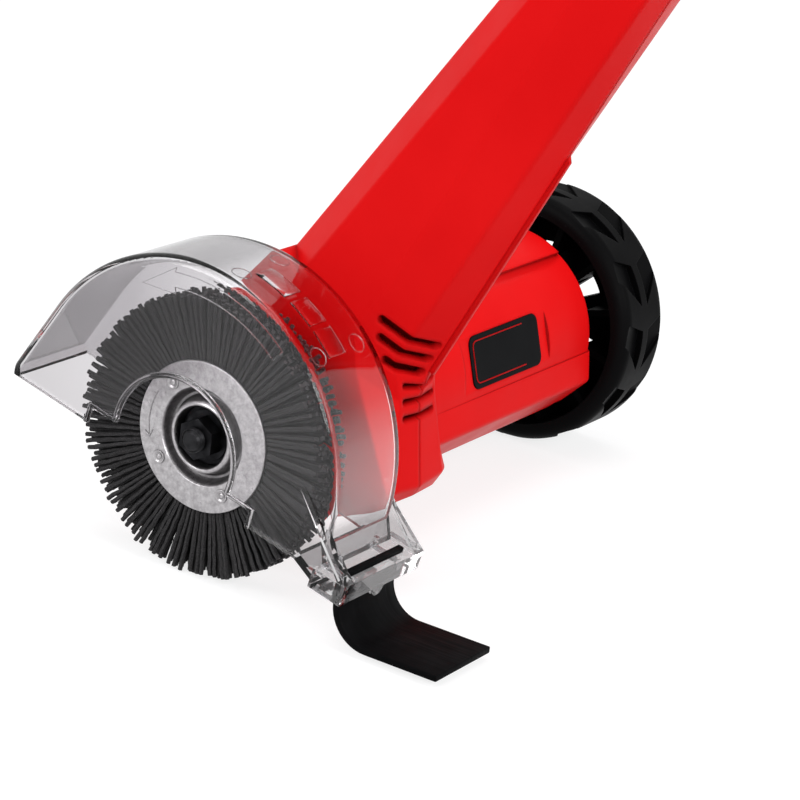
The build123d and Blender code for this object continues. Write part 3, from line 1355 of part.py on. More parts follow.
def handle_screw_set():
    """Screws that hold the handle's halves together."""
    under_head = HANDLE_HALF - SCREW_SINK
    return [
        cheese_screw(SCREW_RADIUS, SCREW_HEAD, SCREW_HEAD_THICK, under_head, -SCREW_REACH + SLIDE_GAP, y, z)
        for y, z in HANDLE_SCREWS
    ]


def trigger():
    """Trigger that swings on its pin into the grip."""
    lever = slab(trigger_outline(), -TRIGGER_HALF, TRIGGER_HALF)
    lever = fillet(lever.edges().filter_by(Axis.X).sort_by(Axis.Y)[:3], TRIGGER_ROUND)
    bore = TRIGGER_PIN_RADIUS + RUN_FIT
    return lever - x_bar(bore, -HANDLE_HALF, HANDLE_HALF, TRIGGER_PIVOT_Y, TRIGGER_PIVOT_Z)


def trigger_pin():
    """Pin that the trigger swings on, held in both halves of the handle."""
    half = HANDLE_HALF - HANDLE_WALL
    return x_bar(TRIGGER_PIN_RADIUS, -half, half, TRIGGER_PIVOT_Y, TRIGGER_PIVOT_Z)


def switch_unit():
    """Mains switch between the handle's side walls."""
    half = HANDLE_HALF - HANDLE_WALL
    body = block((-half, half), (SWITCH_BACK, SWITCH_FRONT), (SWITCH_LOW, SWITCH_HIGH))
    plunger_z = (SWITCH_LOW + SWITCH_HIGH) / 2
    return body + y_bar(PLUNGER_RADIUS, SWITCH_BACK - PLUNGER_REACH, SWITCH_BACK, 0, plunger_z)


def lock_off_button():
    """Round button that slides into the side of the handle, with a rim that keeps it in."""
    face = -HANDLE_HALF - BUTTON_TRAVEL - EDGE_BREAK
    stem = x_bar(BUTTON_RADIUS, face, -HANDLE_HALF + BUTTON_STEM, BUTTON_Y, BUTTON_Z)
    stem = fillet(stem.faces().sort_by(Axis.X)[0].edges(), EDGE_BREAK)
    inside = -HANDLE_HALF + HANDLE_WALL + SLIDE_GAP
    return stem + x_bar(BUTTON_RADIUS + BUTTON_RIM, inside, inside + BUTTON_RIM_THICK, BUTTON_Y, BUTTON_Z)


def cord_gland():
    """Bare inlet for the mains cord at the top of the handle."""
    sleeve = z_bar(GLAND_RADIUS, HANDLE_TOP - GLAND_LENGTH, HANDLE_TOP, 0, GLAND_Y)
    lip = z_bar(GLAND_RADIUS + GLAND_LIP, HANDLE_TOP, HANDLE_TOP + GLAND_LIP_THICK, 0, GLAND_Y)
    lip = fillet(lip.edges().sort_by(Axis.Z)[-1], EDGE_BREAK)
    bore_end = HANDLE_TOP + GLAND_LIP_THICK + CUT
    return sleeve + lip - z_bar(GLAND_BORE, HANDLE_TOP - GLAND_LENGTH - CUT, bore_end, 0, GLAND_Y)


def bow_clamp():
    """The two halves of the clamp that carries the bow handle, with a lug on the front one."""
    low = BOW_Z - CLAMP_HALF_HEIGHT
    high = BOW_Z + CLAMP_HALF_HEIGHT
    reach = UPPER_TUBE_RADIUS + CLAMP_WALL
    body = block((-CLAMP_SIDE, CLAMP_SIDE), (POLE_Y - reach, POLE_Y + reach), (low, high))
    body = fillet(body.edges().filter_by(Axis.Z), CLAMP_WALL)
    lug = slab(Pos(BOW_PIVOT_Y, BOW_Z) * Circle(LUG_RADIUS), -LUG_HALF, LUG_HALF)
    lug += block((-LUG_HALF, LUG_HALF), (POLE_Y, BOW_PIVOT_Y), (BOW_Z - LUG_RADIUS, BOW_Z + LUG_RADIUS))
    body += lug
    body -= z_bar(UPPER_TUBE_RADIUS + SEAT_FIT, low - CUT, high + CUT)
    body -= x_bar(BOW_BOLT_RADIUS + SCREW_FIT, -LUG_HALF - CUT, LUG_HALF + CUT, BOW_PIVOT_Y, BOW_Z)
    for x in (-CLAMP_SCREW_X, CLAMP_SCREW_X):
        body -= y_bar(SCREW_RADIUS + SCREW_FIT, POLE_Y - reach - CUT, POLE_Y + reach - WALL, x, BOW_Z)
    wide = (-CLAMP_SIDE - CUT, CLAMP_SIDE + CUT)
    front = body & block(wide, (POLE_Y + CLAMP_SLIT / 2, BOW_PIVOT_Y * 3), (low, high))
    rear = body & block(wide, (POLE_Y - reach - CUT, POLE_Y - CLAMP_SLIT / 2), (low, high))
    return front, rear


def bow_clamp_screws():
    """Screws from the back that draw the clamp's halves together."""
    reach = UPPER_TUBE_RADIUS + CLAMP_WALL
    under_head = POLE_Y - reach
    screws = []
    for x in (-CLAMP_SCREW_X, CLAMP_SCREW_X):
        shank = y_bar(SCREW_RADIUS, under_head, POLE_Y + reach - WALL - CUT, x, BOW_Z)
        screws.append(shank + y_bar(SCREW_HEAD, under_head - SCREW_HEAD_THICK, under_head, x, BOW_Z))
    return screws


def bow_handle():
    """Bow handle: a bar bent to an open loop, with an eye at each end for the pivot bolt."""
    eye_x = LUG_HALF + SLIDE_GAP + EYE_WIDTH / 2
    frame = Plane(
        origin=(0, BOW_PIVOT_Y, BOW_Z),
        x_dir=(1, 0, 0),
        z_dir=(0, -math.sin(math.radians(BOW_TILT)), math.cos(math.radians(BOW_TILT))),
    )
    path = FilletPolyline(
        (-eye_x, 0),
        (-eye_x, BOW_RISE),
        (-BOW_HALF, BOW_SHOULDER),
        (-BOW_HALF, BOW_LENGTH),
        (BOW_HALF, BOW_LENGTH),
        (BOW_HALF, BOW_SHOULDER),
        (eye_x, BOW_RISE),
        (eye_x, 0),
        radius=BOW_CORNER,
    )
    route = frame * path
    section = Plane(origin=route @ 0, z_dir=route % 0) * Circle(BOW_BAR_RADIUS)
    bar = sweep(section, path=route)
    inner = LUG_HALF + SLIDE_GAP
    outer = inner + EYE_WIDTH
    for side_sign in (-1, 1):
        bar += x_bar(LUG_RADIUS, side_sign * inner, side_sign * outer, BOW_PIVOT_Y, BOW_Z)
    grip_half = BOW_HALF - BOW_CORNER - BOW_BAR_RADIUS
    grip_start = frame.from_local_coords((-grip_half, BOW_LENGTH, 0))
    grip = extrude(Plane(origin=grip_start, z_dir=(1, 0, 0)) * Circle(BOW_GRIP_RADIUS), amount=grip_half * 2)
    bar += fillet(grip.edges().filter_by(GeomType.CIRCLE), BOW_GRIP_EDGE)
    return bar - x_bar(BOW_BOLT_RADIUS + SLIDE_GAP, -outer - CUT, outer + CUT, BOW_PIVOT_Y, BOW_Z)


def bow_bolt():
    """Bolt through the bow handle's eyes and the clamp's lug."""
    outer = LUG_HALF + SLIDE_GAP + EYE_WIDTH + SLIDE_GAP
    pin = x_bar(BOW_BOLT_RADIUS, -outer, outer + KNOB_LENGTH / 2, BOW_PIVOT_Y, BOW_Z)
    return pin + x_bar(BOW_BOLT_HEAD, -outer - BOW_BOLT_HEAD_THICK, -outer, BOW_PIVOT_Y, BOW_Z)


def bow_knob():
    """Lobed knob that tightens the bow handle."""
    start = LUG_HALF + EYE_WIDTH + SLIDE_GAP * 2
    outline = Circle(KNOB_RADIUS)
    for step in range(KNOB_LOBES):
        scoop = Pos(KNOB_RADIUS + KNOB_SCOOP / 2, 0) * Circle(KNOB_SCOOP)
        outline -= Rot(0, 0, 360.0 * step / KNOB_LOBES) * scoop
    knob = slab(outline, start, start + KNOB_LENGTH)
    knob -= x_bar(BOW_BOLT_RADIUS + RUN_FIT, start - CUT, start + KNOB_LENGTH / 2 + SLIDE_GAP)
    return Pos(0, BOW_PIVOT_Y, BOW_Z) * knob


def save(name, shapes):
    """Stand a piece on the floor with the rest of the tool and write it."""
    solids = shapes if isinstance(shapes, list) else [shapes]
    placed = [STANCE * solid for solid in solids]
    whole = placed[0] if len(placed) == 1 else Compound(children=placed)
    export_step(whole, f"parts/{name}.step")


brush_half, wheel_half = housing_halves()
save("brush_side_shell", brush_half)
save("wheel_side_shell", wheel_half)
save("housing_screws", housing_screw_set())
save("name_plate", name_plate_solid(0, PLATE_FLAT - PLATE_SUNK, PLATE_FLAT - PLATE_SUNK + PLATE_THICK))
save("gear_plate", gear_plate())
save("motor_plate", motor_plate())
save("spindle", spindle())
save(
    "spindle_bearings",
    [
        sealed_bearing(SPINDLE_BEARING_RADIUS, SPINDLE_RADIUS, start, SPINDLE_BEARING_WIDTH)
        for start in (FRONT_BEARING, GEAR_PLATE)
    ],
)
save(
    "spindle_gear",
    gear(SPINDLE_TEETH, 90, SPINDLE_GEAR, SPINDLE_GEAR + SPINDLE_GEAR_WIDTH, SPINDLE_RADIUS - RUN_FIT),
)
save("countershaft", countershaft())
save("countershaft_bushes", countershaft_bushes())
save(
    "countershaft_gear",
    gear(
        COUNTER_TEETH,
        270 + 180 / COUNTER_TEETH,
        COUNTER_GEAR,
        COUNTER_GEAR + COUNTER_GEAR_WIDTH,
        COUNTER_RADIUS - RUN_FIT,
        CENTRE_DISTANCE,
    ),
)
save(
    "motor_pinion",
    gear(MOTOR_TEETH, 90, COUNTER_GEAR - PINION_OVERHANG, MOTOR_PLATE - PINION_OVERHANG, PINION_BORE),
)
save("motor_shaft", motor_shaft())
save(
    "motor_bearings",
    [
        sealed_bearing(MOTOR_BEARING_RADIUS, MOTOR_SHAFT_RADIUS, start, MOTOR_BEARING_WIDTH)
        for start in (FRONT_MOTOR_BEARING, REAR_BEARING)
    ],
)
save("cooling_fan", cooling_fan())
save("armature_core", armature_core())
save("armature_windings", armature_windings())
save("commutator", x_ring(COMMUTATOR_RADIUS, CORE_SHAFT_RADIUS, COMMUTATOR, COMMUTATOR_END))
save("stator_core", stator_core())
save("field_coils", field_coils())
carbons, holders = carbon_pieces()
save("carbon_brushes", carbons)
save("carbon_holders", holders)

near_plate = hub_plate()
save("brush_near_plate", near_plate)
save("brush_far_plate", Pos(BRUSH_MID, 0, 0) * Rot(0, 0, 180) * Pos(-BRUSH_MID, 0, 0) * near_plate)
save("arbor_bush", x_ring(COLLAR_RADIUS - HUB_SHEET, STUD_RADIUS, ARBOR_NEAR, FLANGE_FACE))
save("bristles_near", bristles((0, 1)))
save("bristles_far", bristles((2, 3)))
save("spindle_washer", x_ring(WASHER_RADIUS, STUD_RADIUS, ARBOR_NEAR - WASHER_THICK, ARBOR_NEAR))
save("spindle_nut", hexagon_bar(NUT_ACROSS, NUT_NEAR, NUT_NEAR + NUT_THICK, STUD_RADIUS))
save("guard", guard())
save("guard_screws", guard_screw_set())
save("flap", flap())
save("flap_rivets", flap_rivets())

save("wheel", wheel())
save(
    "wheel_bush",
    x_ring(AXLE_RADIUS + WHEEL_BUSH_WALL, AXLE_RADIUS + RUN_FIT, wheel_hub_near(), bush_far()),
)
save("wheel_axle", wheel_axle())
nut_start = bush_far() + SLIDE_GAP
save("wheel_nut", hexagon_bar(WHEEL_NUT_ACROSS, nut_start, nut_start + WHEEL_NUT_THICK, AXLE_RADIUS))
save("wheel_cap", x_bar(WHEEL_HUB, WHEEL_FAR - WHEEL_CAP_THICK, WHEEL_FAR))

save("lower_tube", lower_tube())
save("tube_screws", tube_screw_set())
save("clamp_collar", clamp_collar())
save("twist_nut", twist_nut())
save("upper_tube", z_ring(UPPER_TUBE_RADIUS, UPPER_TUBE_BORE, UPPER_TUBE_FOOT, UPPER_TUBE_TOP))
left_half, right_half, grip_pad = handle_pieces()
save("handle_left_shell", left_half)
save("handle_right_shell", right_half)
save("grip_pad", grip_pad)
save("handle_screws", handle_screw_set())
save("trigger", trigger())
save("trigger_pin", trigger_pin())
save("switch_unit", switch_unit())
save("lock_off_button", lock_off_button())
save("cord_gland", cord_gland())
clamp_front, clamp_rear = bow_clamp()
save("bow_clamp_front", clamp_front)
save("bow_clamp_rear", clamp_rear)
save("bow_clamp_screws", bow_clamp_screws())
save("bow_handle", bow_handle())
save("bow_bolt", bow_bolt())
save("bow_knob", bow_knob())
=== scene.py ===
import math
import random

import bmesh
import bpy
from mathutils import Matrix, Vector


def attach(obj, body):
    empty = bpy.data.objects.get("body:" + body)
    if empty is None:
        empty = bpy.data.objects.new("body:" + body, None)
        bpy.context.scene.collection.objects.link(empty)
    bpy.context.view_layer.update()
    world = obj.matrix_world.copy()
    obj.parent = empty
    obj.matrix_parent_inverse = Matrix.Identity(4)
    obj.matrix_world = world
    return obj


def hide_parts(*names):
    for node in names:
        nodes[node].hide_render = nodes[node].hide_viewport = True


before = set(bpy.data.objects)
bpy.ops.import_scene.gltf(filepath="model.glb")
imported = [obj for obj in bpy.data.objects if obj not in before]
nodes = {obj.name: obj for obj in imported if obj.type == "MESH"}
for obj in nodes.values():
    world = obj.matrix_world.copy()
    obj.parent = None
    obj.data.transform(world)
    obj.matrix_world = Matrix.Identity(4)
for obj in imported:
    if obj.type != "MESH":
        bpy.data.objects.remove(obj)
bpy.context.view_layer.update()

# Shapes are given in mm, with X along the spindle. Finishes, lamps and the camera are in metres.
MM = 0.001
SPINDLE_UP = 50.0
POLE_LEAN = math.radians(30)
GUARD_LEAN = math.radians(13)
AT_SPINDLE = Matrix.Translation((0, 0, SPINDLE_UP * MM))
TOOL = AT_SPINDLE @ Matrix.Rotation(POLE_LEAN, 4, "X")
GUARD = AT_SPINDLE @ Matrix.Rotation(GUARD_LEAN, 4, "X")
ALONG_SPINDLE = Matrix.Rotation(math.radians(90), 4, "Y")

BRUSH_MID = -37.5
HUB_NEAR = -43.0
GUARD_NEAR = -59.0
GUARD_RIM = 65.5


# Workshop helpers


def deselect():
    if bpy.context.object and bpy.context.object.mode != "OBJECT":
        bpy.ops.object.mode_set(mode="OBJECT")
    bpy.ops.object.select_all(action="DESELECT")


def only(piece):
    deselect()
    piece.select_set(True)
    bpy.context.view_layer.objects.active = piece


def added(name):
    """The piece that was just made, under its name."""
    piece = bpy.context.object
    piece.name = name
    piece.data.name = name
    return piece


def edit(piece, kind="FACE"):
    """Opens the piece for editing, with all of it selected."""
    only(piece)
    bpy.ops.object.mode_set(mode="EDIT")
    bpy.ops.mesh.select_mode(type=kind)
    bpy.ops.mesh.select_all(action="SELECT")


def done():
    bpy.ops.object.mode_set(mode="OBJECT")


def pull(step):
    """Extrudes what is selected by a step in metres."""
    bpy.ops.mesh.extrude_region_move(TRANSFORM_OT_translate={"value": step})


def pick_faces(piece, wanted):
    mesh = bmesh.from_edit_mesh(piece.data)
    mesh.select_mode = {"FACE"}
    for face in mesh.faces:
        face.select_set(bool(wanted(face.calc_center_median(), face.normal)))
    mesh.select_flush_mode()
    bmesh.update_edit_mesh(piece.data)


def pick_edges(piece, wanted):
    mesh = bmesh.from_edit_mesh(piece.data)
    mesh.select_mode = {"EDGE"}
    for edge in mesh.edges:
        edge.select_set(bool(wanted((edge.verts[0].co + edge.verts[1].co) / 2)))
    mesh.select_flush_mode()
    bmesh.update_edit_mesh(piece.data)


def settle(piece, place):
    """Moves the piece to its place, which goes into its mesh."""
    only(piece)
    piece.matrix_world = place @ piece.matrix_world
    bpy.ops.object.transform_apply(location=True, rotation=True, scale=True)


def modify(piece, kind, **settings):
    only(piece)
    modifier = piece.modifiers.new(kind.title(), kind)
    for key, value in settings.items():
        setattr(modifier, key, value)
    bpy.ops.object.modifier_apply(modifier=modifier.name)


def ease_edges(piece, width, angle):
    """Rounds the edges that are sharper than an angle in degrees."""
    modify(piece, "BEVEL", width=width * MM, segments=2, angle_limit=math.radians(angle))


def smooth(piece, angle):
    only(piece)
    bpy.ops.object.shade_smooth_by_angle(angle=math.radians(angle))


def outward(piece):
    """Merges doubled points and turns every face outwards."""
    edit(piece)
    bpy.ops.mesh.remove_doubles(threshold=0.00001)
    bpy.ops.mesh.normals_make_consistent(inside=False)
    done()


def copy_of(piece):
    twin = piece.copy()
    twin.data = piece.data.copy()
    bpy.context.scene.collection.objects.link(twin)
    return twin


def joined(pieces, name):
    deselect()
    for piece in pieces:
        piece.select_set(True)
    bpy.context.view_layer.objects.active = pieces[0]
    bpy.ops.object.join()
    return added(name)


def dress(piece, body, slot_name):
    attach(piece, body)
    piece.data.materials.clear()
    piece.data.materials.append(finishes[slot_name])


def spaced(start, end, count):
    return [start + (end - start) * step / (count - 1) for step in range(count)]


def polar(along, radius, degrees):
    """Point at a radius and an angle about the spindle."""
    turn = math.radians(degrees)
    return (along, radius * math.cos(turn), radius * math.sin(turn))


def ringed(name, rings, segments, capped):
    """Round form on +Z through rings of (radius, height), with its last ring filled if capped."""
    radius, height = rings[0]
    deselect()
    bpy.ops.mesh.primitive_circle_add(
        vertices=segments, radius=radius * MM, location=(0, 0, height * MM)
    )
    piece = added(name)
    bpy.ops.object.transform_apply(location=True, rotation=True, scale=True)
    edit(piece, "EDGE")
    for next_radius, next_height in rings[1:]:
        pull((0, 0, (next_height - height) * MM))
        share = next_radius / radius
        middle = (0, 0, next_height * MM)
        bpy.ops.transform.resize(value=(share, share, 1), center_override=middle)
        radius, height = next_radius, next_height
    if capped:
        bpy.ops.mesh.edge_face_add()
    done()
    outward(piece)
    return piece


def turned(name, rings, segments):
    """Lathe-turned piece about the spindle: rings of (radius, place along the spindle)."""
    piece = ringed(name, rings, segments, False)
    settle(piece, TOOL @ ALONG_SPINDLE)
    return piece


def boss(name, rings):
    """Small round boss on +Z: rings of (radius, height)."""
    piece = ringed(name, rings, 20, True)
    smooth(piece, 60)
    return piece


def block(name, half, back, front, low, high):
    """Block astride the pole's middle, left open for editing."""
    deselect()
    bpy.ops.mesh.primitive_cube_add(size=1)
    piece = added(name)
    edit(piece)
    bpy.ops.transform.resize(value=(2 * half * MM, (front - back) * MM, (high - low) * MM))
    bpy.ops.transform.translate(value=(0, (front + back) / 2 * MM, (low + high) / 2 * MM))
    return piece


def bead(name, points, radius, closed, place, roundness=1):
    """Fine round bead along points."""
    deselect()
    line = bpy.data.curves.new(name, "CURVE")
    line.dimensions = "3D"
    run = line.splines.new("POLY")
    run.points.add(len(points) - 1)
    for point, at in zip(run.points, points):
        point.co = (at[0] * MM, at[1] * MM, at[2] * MM, 1)
    run.use_cyclic_u = closed
    line.bevel_depth = radius * MM
    line.bevel_resolution = roundness
    line.use_fill_caps = True
    piece = bpy.data.objects.new(name, line)
    bpy.context.scene.collection.objects.link(piece)
    only(piece)
    bpy.ops.object.convert(target="MESH")
    piece = added(name)
    settle(piece, place)
    smooth(piece, 60)
    return piece


# Finishes

BEVEL_SAMPLES = 4
# Painted shade in slots and corners: its samples and its darkest share.
PAINTED_SHADE_SAMPLES = 6
PAINTED_SHADE_DARK = 0.12
FLOW_PATTERN = 14
SHEEN_PATTERN = 60


def new_finish(name):
    material = bpy.data.materials.new(name)
    material.use_nodes = True
    tree = material.node_tree
    place = tree.nodes.new("ShaderNodeTexCoord").outputs["Object"]
    return material, tree, tree.nodes["Principled BSDF"], place


def grain(tree, place, scale, detail=3.0, roughness=0.55):
    noise = tree.nodes.new("ShaderNodeTexNoise")
    noise.inputs["Scale"].default_value = scale
    noise.inputs["Detail"].default_value = detail
    noise.inputs["Roughness"].default_value = roughness
    tree.links.new(place, noise.inputs["Vector"])
    return noise.outputs["Fac"]


def stretched(tree, place, scale, turn=(0, 0, 0)):
    """The place drawn out by scale along axes that are turned from the object's own."""
    mapping = tree.nodes.new("ShaderNodeMapping")
    mapping.vector_type = "TEXTURE"
    mapping.inputs["Scale"].default_value = scale
    mapping.inputs["Rotation"].default_value = turn
    tree.links.new(place, mapping.inputs["Vector"])
    return mapping.outputs["Vector"]


def reckoned(tree, operation, *values):
    """One sum, on values that are sockets or plain numbers."""
    sum_node = tree.nodes.new("ShaderNodeMath")
    sum_node.operation = operation
    for place, value in zip(sum_node.inputs, values):
        if isinstance(value, float):
            place.default_value = value
        else:
            tree.links.new(value, place)
    return sum_node.outputs["Value"]


def graded(tree, value, stops):
    """Colours by value: stops are (value, colour)."""
    ramp = tree.nodes.new("ShaderNodeValToRGB")
    first, last = ramp.color_ramp.elements
    first.position, last.position = stops[0][0], stops[-1][0]
    first.color, last.color = (*stops[0][1], 1), (*stops[-1][1], 1)
    for position, colour in stops[1:-1]:
        ramp.color_ramp.elements.new(position).color = (*colour, 1)
    tree.links.new(value, ramp.inputs["Fac"])
    return ramp.outputs["Color"]


def tinted(tree, value, dark, light, low=0.35, high=0.65):
    return graded(tree, value, [(low, dark), (high, light)])


def stepped(tree, value, start, end, low, high):
    """Goes from low to high as the value goes from start to end."""
    span = tree.nodes.new("ShaderNodeMapRange")
    span.inputs["From Min"].default_value = start
    span.inputs["From Max"].default_value = end
    span.inputs["To Min"].default_value = low
    span.inputs["To Max"].default_value = high
    tree.links.new(value, span.inputs["Value"])
    return span.outputs["Result"]


def ranged(tree, value, rough):
    return stepped(tree, value, 0.3, 0.7, rough[0], rough[1])


def shaded(tree, colour, amount):
    mix = tree.nodes.new("ShaderNodeMix")
    mix.data_type = "RGBA"
    mix.blend_type = "MULTIPLY"
    mix.inputs["Factor"].default_value = 1.0
    tree.links.new(colour, mix.inputs["A"])
    tree.links.new(amount, mix.inputs["B"])
    return mix.outputs["Result"]


def rounded_normal(tree, radius):
    """The surface's direction, eased over its edges."""
    edge = tree.nodes.new("ShaderNodeBevel")
    edge.samples = BEVEL_SAMPLES
    edge.inputs["Radius"].default_value = radius
    return edge.outputs["Normal"]


def roughened(tree, shader, height, distance, strength, soft_edge=0.0):
    bump = tree.nodes.new("ShaderNodeBump")
    bump.inputs["Distance"].default_value = distance
    bump.inputs["Strength"].default_value = strength
    tree.links.new(height, bump.inputs["Height"])
    if soft_edge:
        tree.links.new(rounded_normal(tree, soft_edge), bump.inputs["Normal"])
    tree.links.new(bump.outputs["Normal"], shader.inputs["Normal"])


def paler_edges(tree, colour, soft_edge, paler):
    """The colour, a little paler along the edges of the moulding."""
    face = tree.nodes.new("ShaderNodeNewGeometry")
    along = tree.nodes.new("ShaderNodeVectorMath")
    along.operation = "DOT_PRODUCT"
    tree.links.new(rounded_normal(tree, soft_edge), along.inputs[0])
    tree.links.new(face.outputs["Normal"], along.inputs[1])
    near_edge = stepped(tree, along.outputs["Value"], 0.99, 0.75, 0.0, 0.5)
    mix = tree.nodes.new("ShaderNodeMix")
    mix.data_type = "RGBA"
    tree.links.new(near_edge, mix.inputs["Factor"])
    tree.links.new(colour, mix.inputs["A"])
    mix.inputs["B"].default_value = (*paler, 1)
    return mix.outputs["Result"]


def painted_crevice_shade(tree, colour, reach, own_shape=True, closed=0.25, open_at=0.8):
    """The colour with painted shade: darker in slots and inside corners."""
    hollow = tree.nodes.new("ShaderNodeAmbientOcclusion")
    hollow.samples = PAINTED_SHADE_SAMPLES
    hollow.only_local = own_shape
    hollow.inputs["Distance"].default_value = reach
    light = stepped(tree, hollow.outputs["AO"], closed, open_at, PAINTED_SHADE_DARK, 1.0)
    return shaded(tree, colour, light)


def moulded(
    name,
    dark,
    light,
    rough,
    grain_scale=1500,
    grain_depth=0.00004,
    specular=0.5,
    soft_edge=0.0005,
    painted_shade_reach=0.0,
):
    """Moulded plastic: an even colour with a faint flow pattern and a spark-eroded grain, and
    painted shade in slots and corners when a reach is given.
    """
    material, tree, shader, place = new_finish(name)
    colour = tinted(tree, grain(tree, place, FLOW_PATTERN), dark, light)
    paler = [min(1.0, 1.15 * part + 0.002) for part in light]
    colour = paler_edges(tree, colour, soft_edge, paler)
    # Painted shade: darker in slots and inside corners of the moulding.
    if painted_shade_reach:
        colour = painted_crevice_shade(tree, colour, painted_shade_reach)
    tree.links.new(colour, shader.inputs["Base Color"])
    sheen = ranged(tree, grain(tree, place, SHEEN_PATTERN), rough)
    tree.links.new(sheen, shader.inputs["Roughness"])
    shader.inputs["Specular IOR Level"].default_value = specular
    roughened(tree, shader, grain(tree, place, grain_scale, 2), grain_depth, 0.35, soft_edge)
    return material


def worked_metal(name, dark, light, rough, scale, stretch=(1, 1, 1), turn=(0, 0, 0)):
    """Bare or coated metal with drawn or brushed marks."""
    material, tree, shader, place = new_finish(name)
    marks = stretched(tree, place, stretch, turn)
    colour = tinted(tree, grain(tree, marks, scale / 6), dark, light)
    tree.links.new(colour, shader.inputs["Base Color"])
    tree.links.new(ranged(tree, grain(tree, marks, scale), rough), shader.inputs["Roughness"])
    shader.inputs["Metallic"].default_value = 1.0
    roughened(tree, shader, grain(tree, marks, scale, 4), 0.00003, 0.3, 0.0003)
    return material


def galvanised():
    """Pressed zinc-coated sheet: pale, with a fine mottle and faint scuffs, and painted shade in
    its groove and recess.
    """
    material, tree, shader, place = new_finish("hub_steel")
    mottle = grain(tree, place, 520, 6, 0.72)
    scuffs = grain(tree, place, 1400, 5)
    pits = grain(tree, place, 1100, 5, 0.7)
    colour = tinted(tree, mottle, (0.31, 0.297, 0.306), (0.52, 0.505, 0.515), 0.34, 0.66)
    # Painted shade: darker in the groove and in the recess round the nut, where nearby parts shade
    # it too.
    colour = painted_crevice_shade(tree, colour, 0.0045, False, 0.30, 0.93)
    tree.links.new(colour, shader.inputs["Base Color"])
    tree.links.new(ranged(tree, scuffs, (0.26, 0.42)), shader.inputs["Roughness"])
    shader.inputs["Metallic"].default_value = 1.0
    roughened(tree, shader, pits, 0.00006, 0.4, 0.0003)
    return material


def nylon():
    """Charcoal abrasive nylon: a gritty strand with paler specks, and painted shade between the
    strands.
    """
    material, tree, shader, place = new_finish("bristle_nylon")
    grit = grain(tree, place, 2600, 4, 0.75)
    colour = tinted(tree, grit, (0.008, 0.0075, 0.008), (0.060, 0.058, 0.060), 0.40, 0.70)
    # Painted shade: darker where the strands crowd together.
    tree.links.new(painted_crevice_shade(tree, colour, 0.0014), shader.inputs["Base Color"])
    sheen = ranged(tree, grain(tree, place, 900), (0.5, 0.75))
    tree.links.new(sheen, shader.inputs["Roughness"])
    shader.inputs["Specular IOR Level"].default_value = 0.15
    roughened(tree, shader, grit, 0.00018, 0.8)
    return material


SMOKE = [
    (0.0, (0.86, 0.85, 0.86)),
    (0.14, (1.0, 0.99, 1.0)),
    (0.46, (0.98, 0.97, 0.98)),
    (0.72, (0.70, 0.685, 0.70)),
    (1.0, (0.60, 0.585, 0.60)),
]
CLEAR_IOR = 1.3
CLEAR_TO_LAMPS = (0.97, 0.965, 0.97, 1)


def smoky_clear():
    """Clear smoky polycarbonate: deeper in tint at its nose and edge-on, hazy at its heel, with
    painted shade along its low part.
    """
    material, tree, shader, place = new_finish("guard_clear")
    axes = tree.nodes.new("ShaderNodeSeparateXYZ")
    tree.links.new(place, axes.inputs["Vector"])
    along, forward, up = (axes.outputs[axis] for axis in "XYZ")

    heel_to_nose = stepped(tree, forward, -0.085, 0.060, 0.0, 0.9)
    cloud = reckoned(tree, "MULTIPLY_ADD", grain(tree, place, 30), 0.12, heel_to_nose)
    colour = graded(tree, cloud, SMOKE)
    edge_on = tree.nodes.new("ShaderNodeLayerWeight").outputs["Facing"]
    edge_tint = stepped(tree, edge_on, 0.40, 0.64, 0.0, -0.66)
    front_half = stepped(tree, forward, -0.045, -0.005, 0.0, 1.0)
    colour = shaded(tree, colour, reckoned(tree, "MULTIPLY_ADD", edge_tint, front_half, 1.0))
    # Painted shade: the low part of the guard is darker, standing in for the shadow of the flap and
    # the far wall behind it.
    colour = shaded(tree, colour, stepped(tree, up, 0.034, 0.045, 0.60, 1.0))
    tree.links.new(colour, shader.inputs["Base Color"])

    sheen = ranged(tree, grain(tree, place, 400), (0.0, 0.03))
    tree.links.new(sheen, shader.inputs["Roughness"])
    shader.inputs["IOR"].default_value = CLEAR_IOR
    heel_haze = stepped(tree, forward, -0.074, -0.058, -0.20, 0.0)
    past_near_wall = stepped(tree, along, -0.056, -0.053, 0.0, 1.0)
    clear = reckoned(tree, "MULTIPLY_ADD", heel_haze, past_near_wall, 1.0)
    tree.links.new(clear, shader.inputs["Transmission Weight"])
    roughened(tree, shader, grain(tree, place, 90, 2), 0.00004, 0.15)

    # Lamps and bounced light pass straight through.
    path = tree.nodes.new("ShaderNodeLightPath").outputs
    lit = reckoned(tree, "MAXIMUM", path["Is Shadow Ray"], path["Is Diffuse Ray"])
    film = tree.nodes.new("ShaderNodeBsdfTransparent")
    film.inputs["Color"].default_value = CLEAR_TO_LAMPS
    mix = tree.nodes.new("ShaderNodeMixShader")
    tree.links.new(lit, mix.inputs["Fac"])
    tree.links.new(shader.outputs["BSDF"], mix.inputs[1])
    tree.links.new(film.outputs["BSDF"], mix.inputs[2])
    tree.links.new(mix.outputs["Shader"], tree.nodes["Material Output"].inputs["Surface"])
    return material


def rubber():
    """Matt black rubber sheet with faint extrusion lines down its length."""
    material, tree, shader, place = new_finish("flap_rubber")
    streaks = grain(tree, stretched(tree, place, (1, 25, 25)), 900, 3)
    dust = grain(tree, place, 120, 5)
    colour = tinted(tree, dust, (0.0012, 0.0012, 0.0014), (0.003, 0.003, 0.0034))
    tree.links.new(colour, shader.inputs["Base Color"])
    tree.links.new(ranged(tree, streaks, (0.42, 0.62)), shader.inputs["Roughness"])
    shader.inputs["Specular IOR Level"].default_value = 0.03
    roughened(tree, shader, streaks, 0.0001, 0.4, 0.0004)
    return material


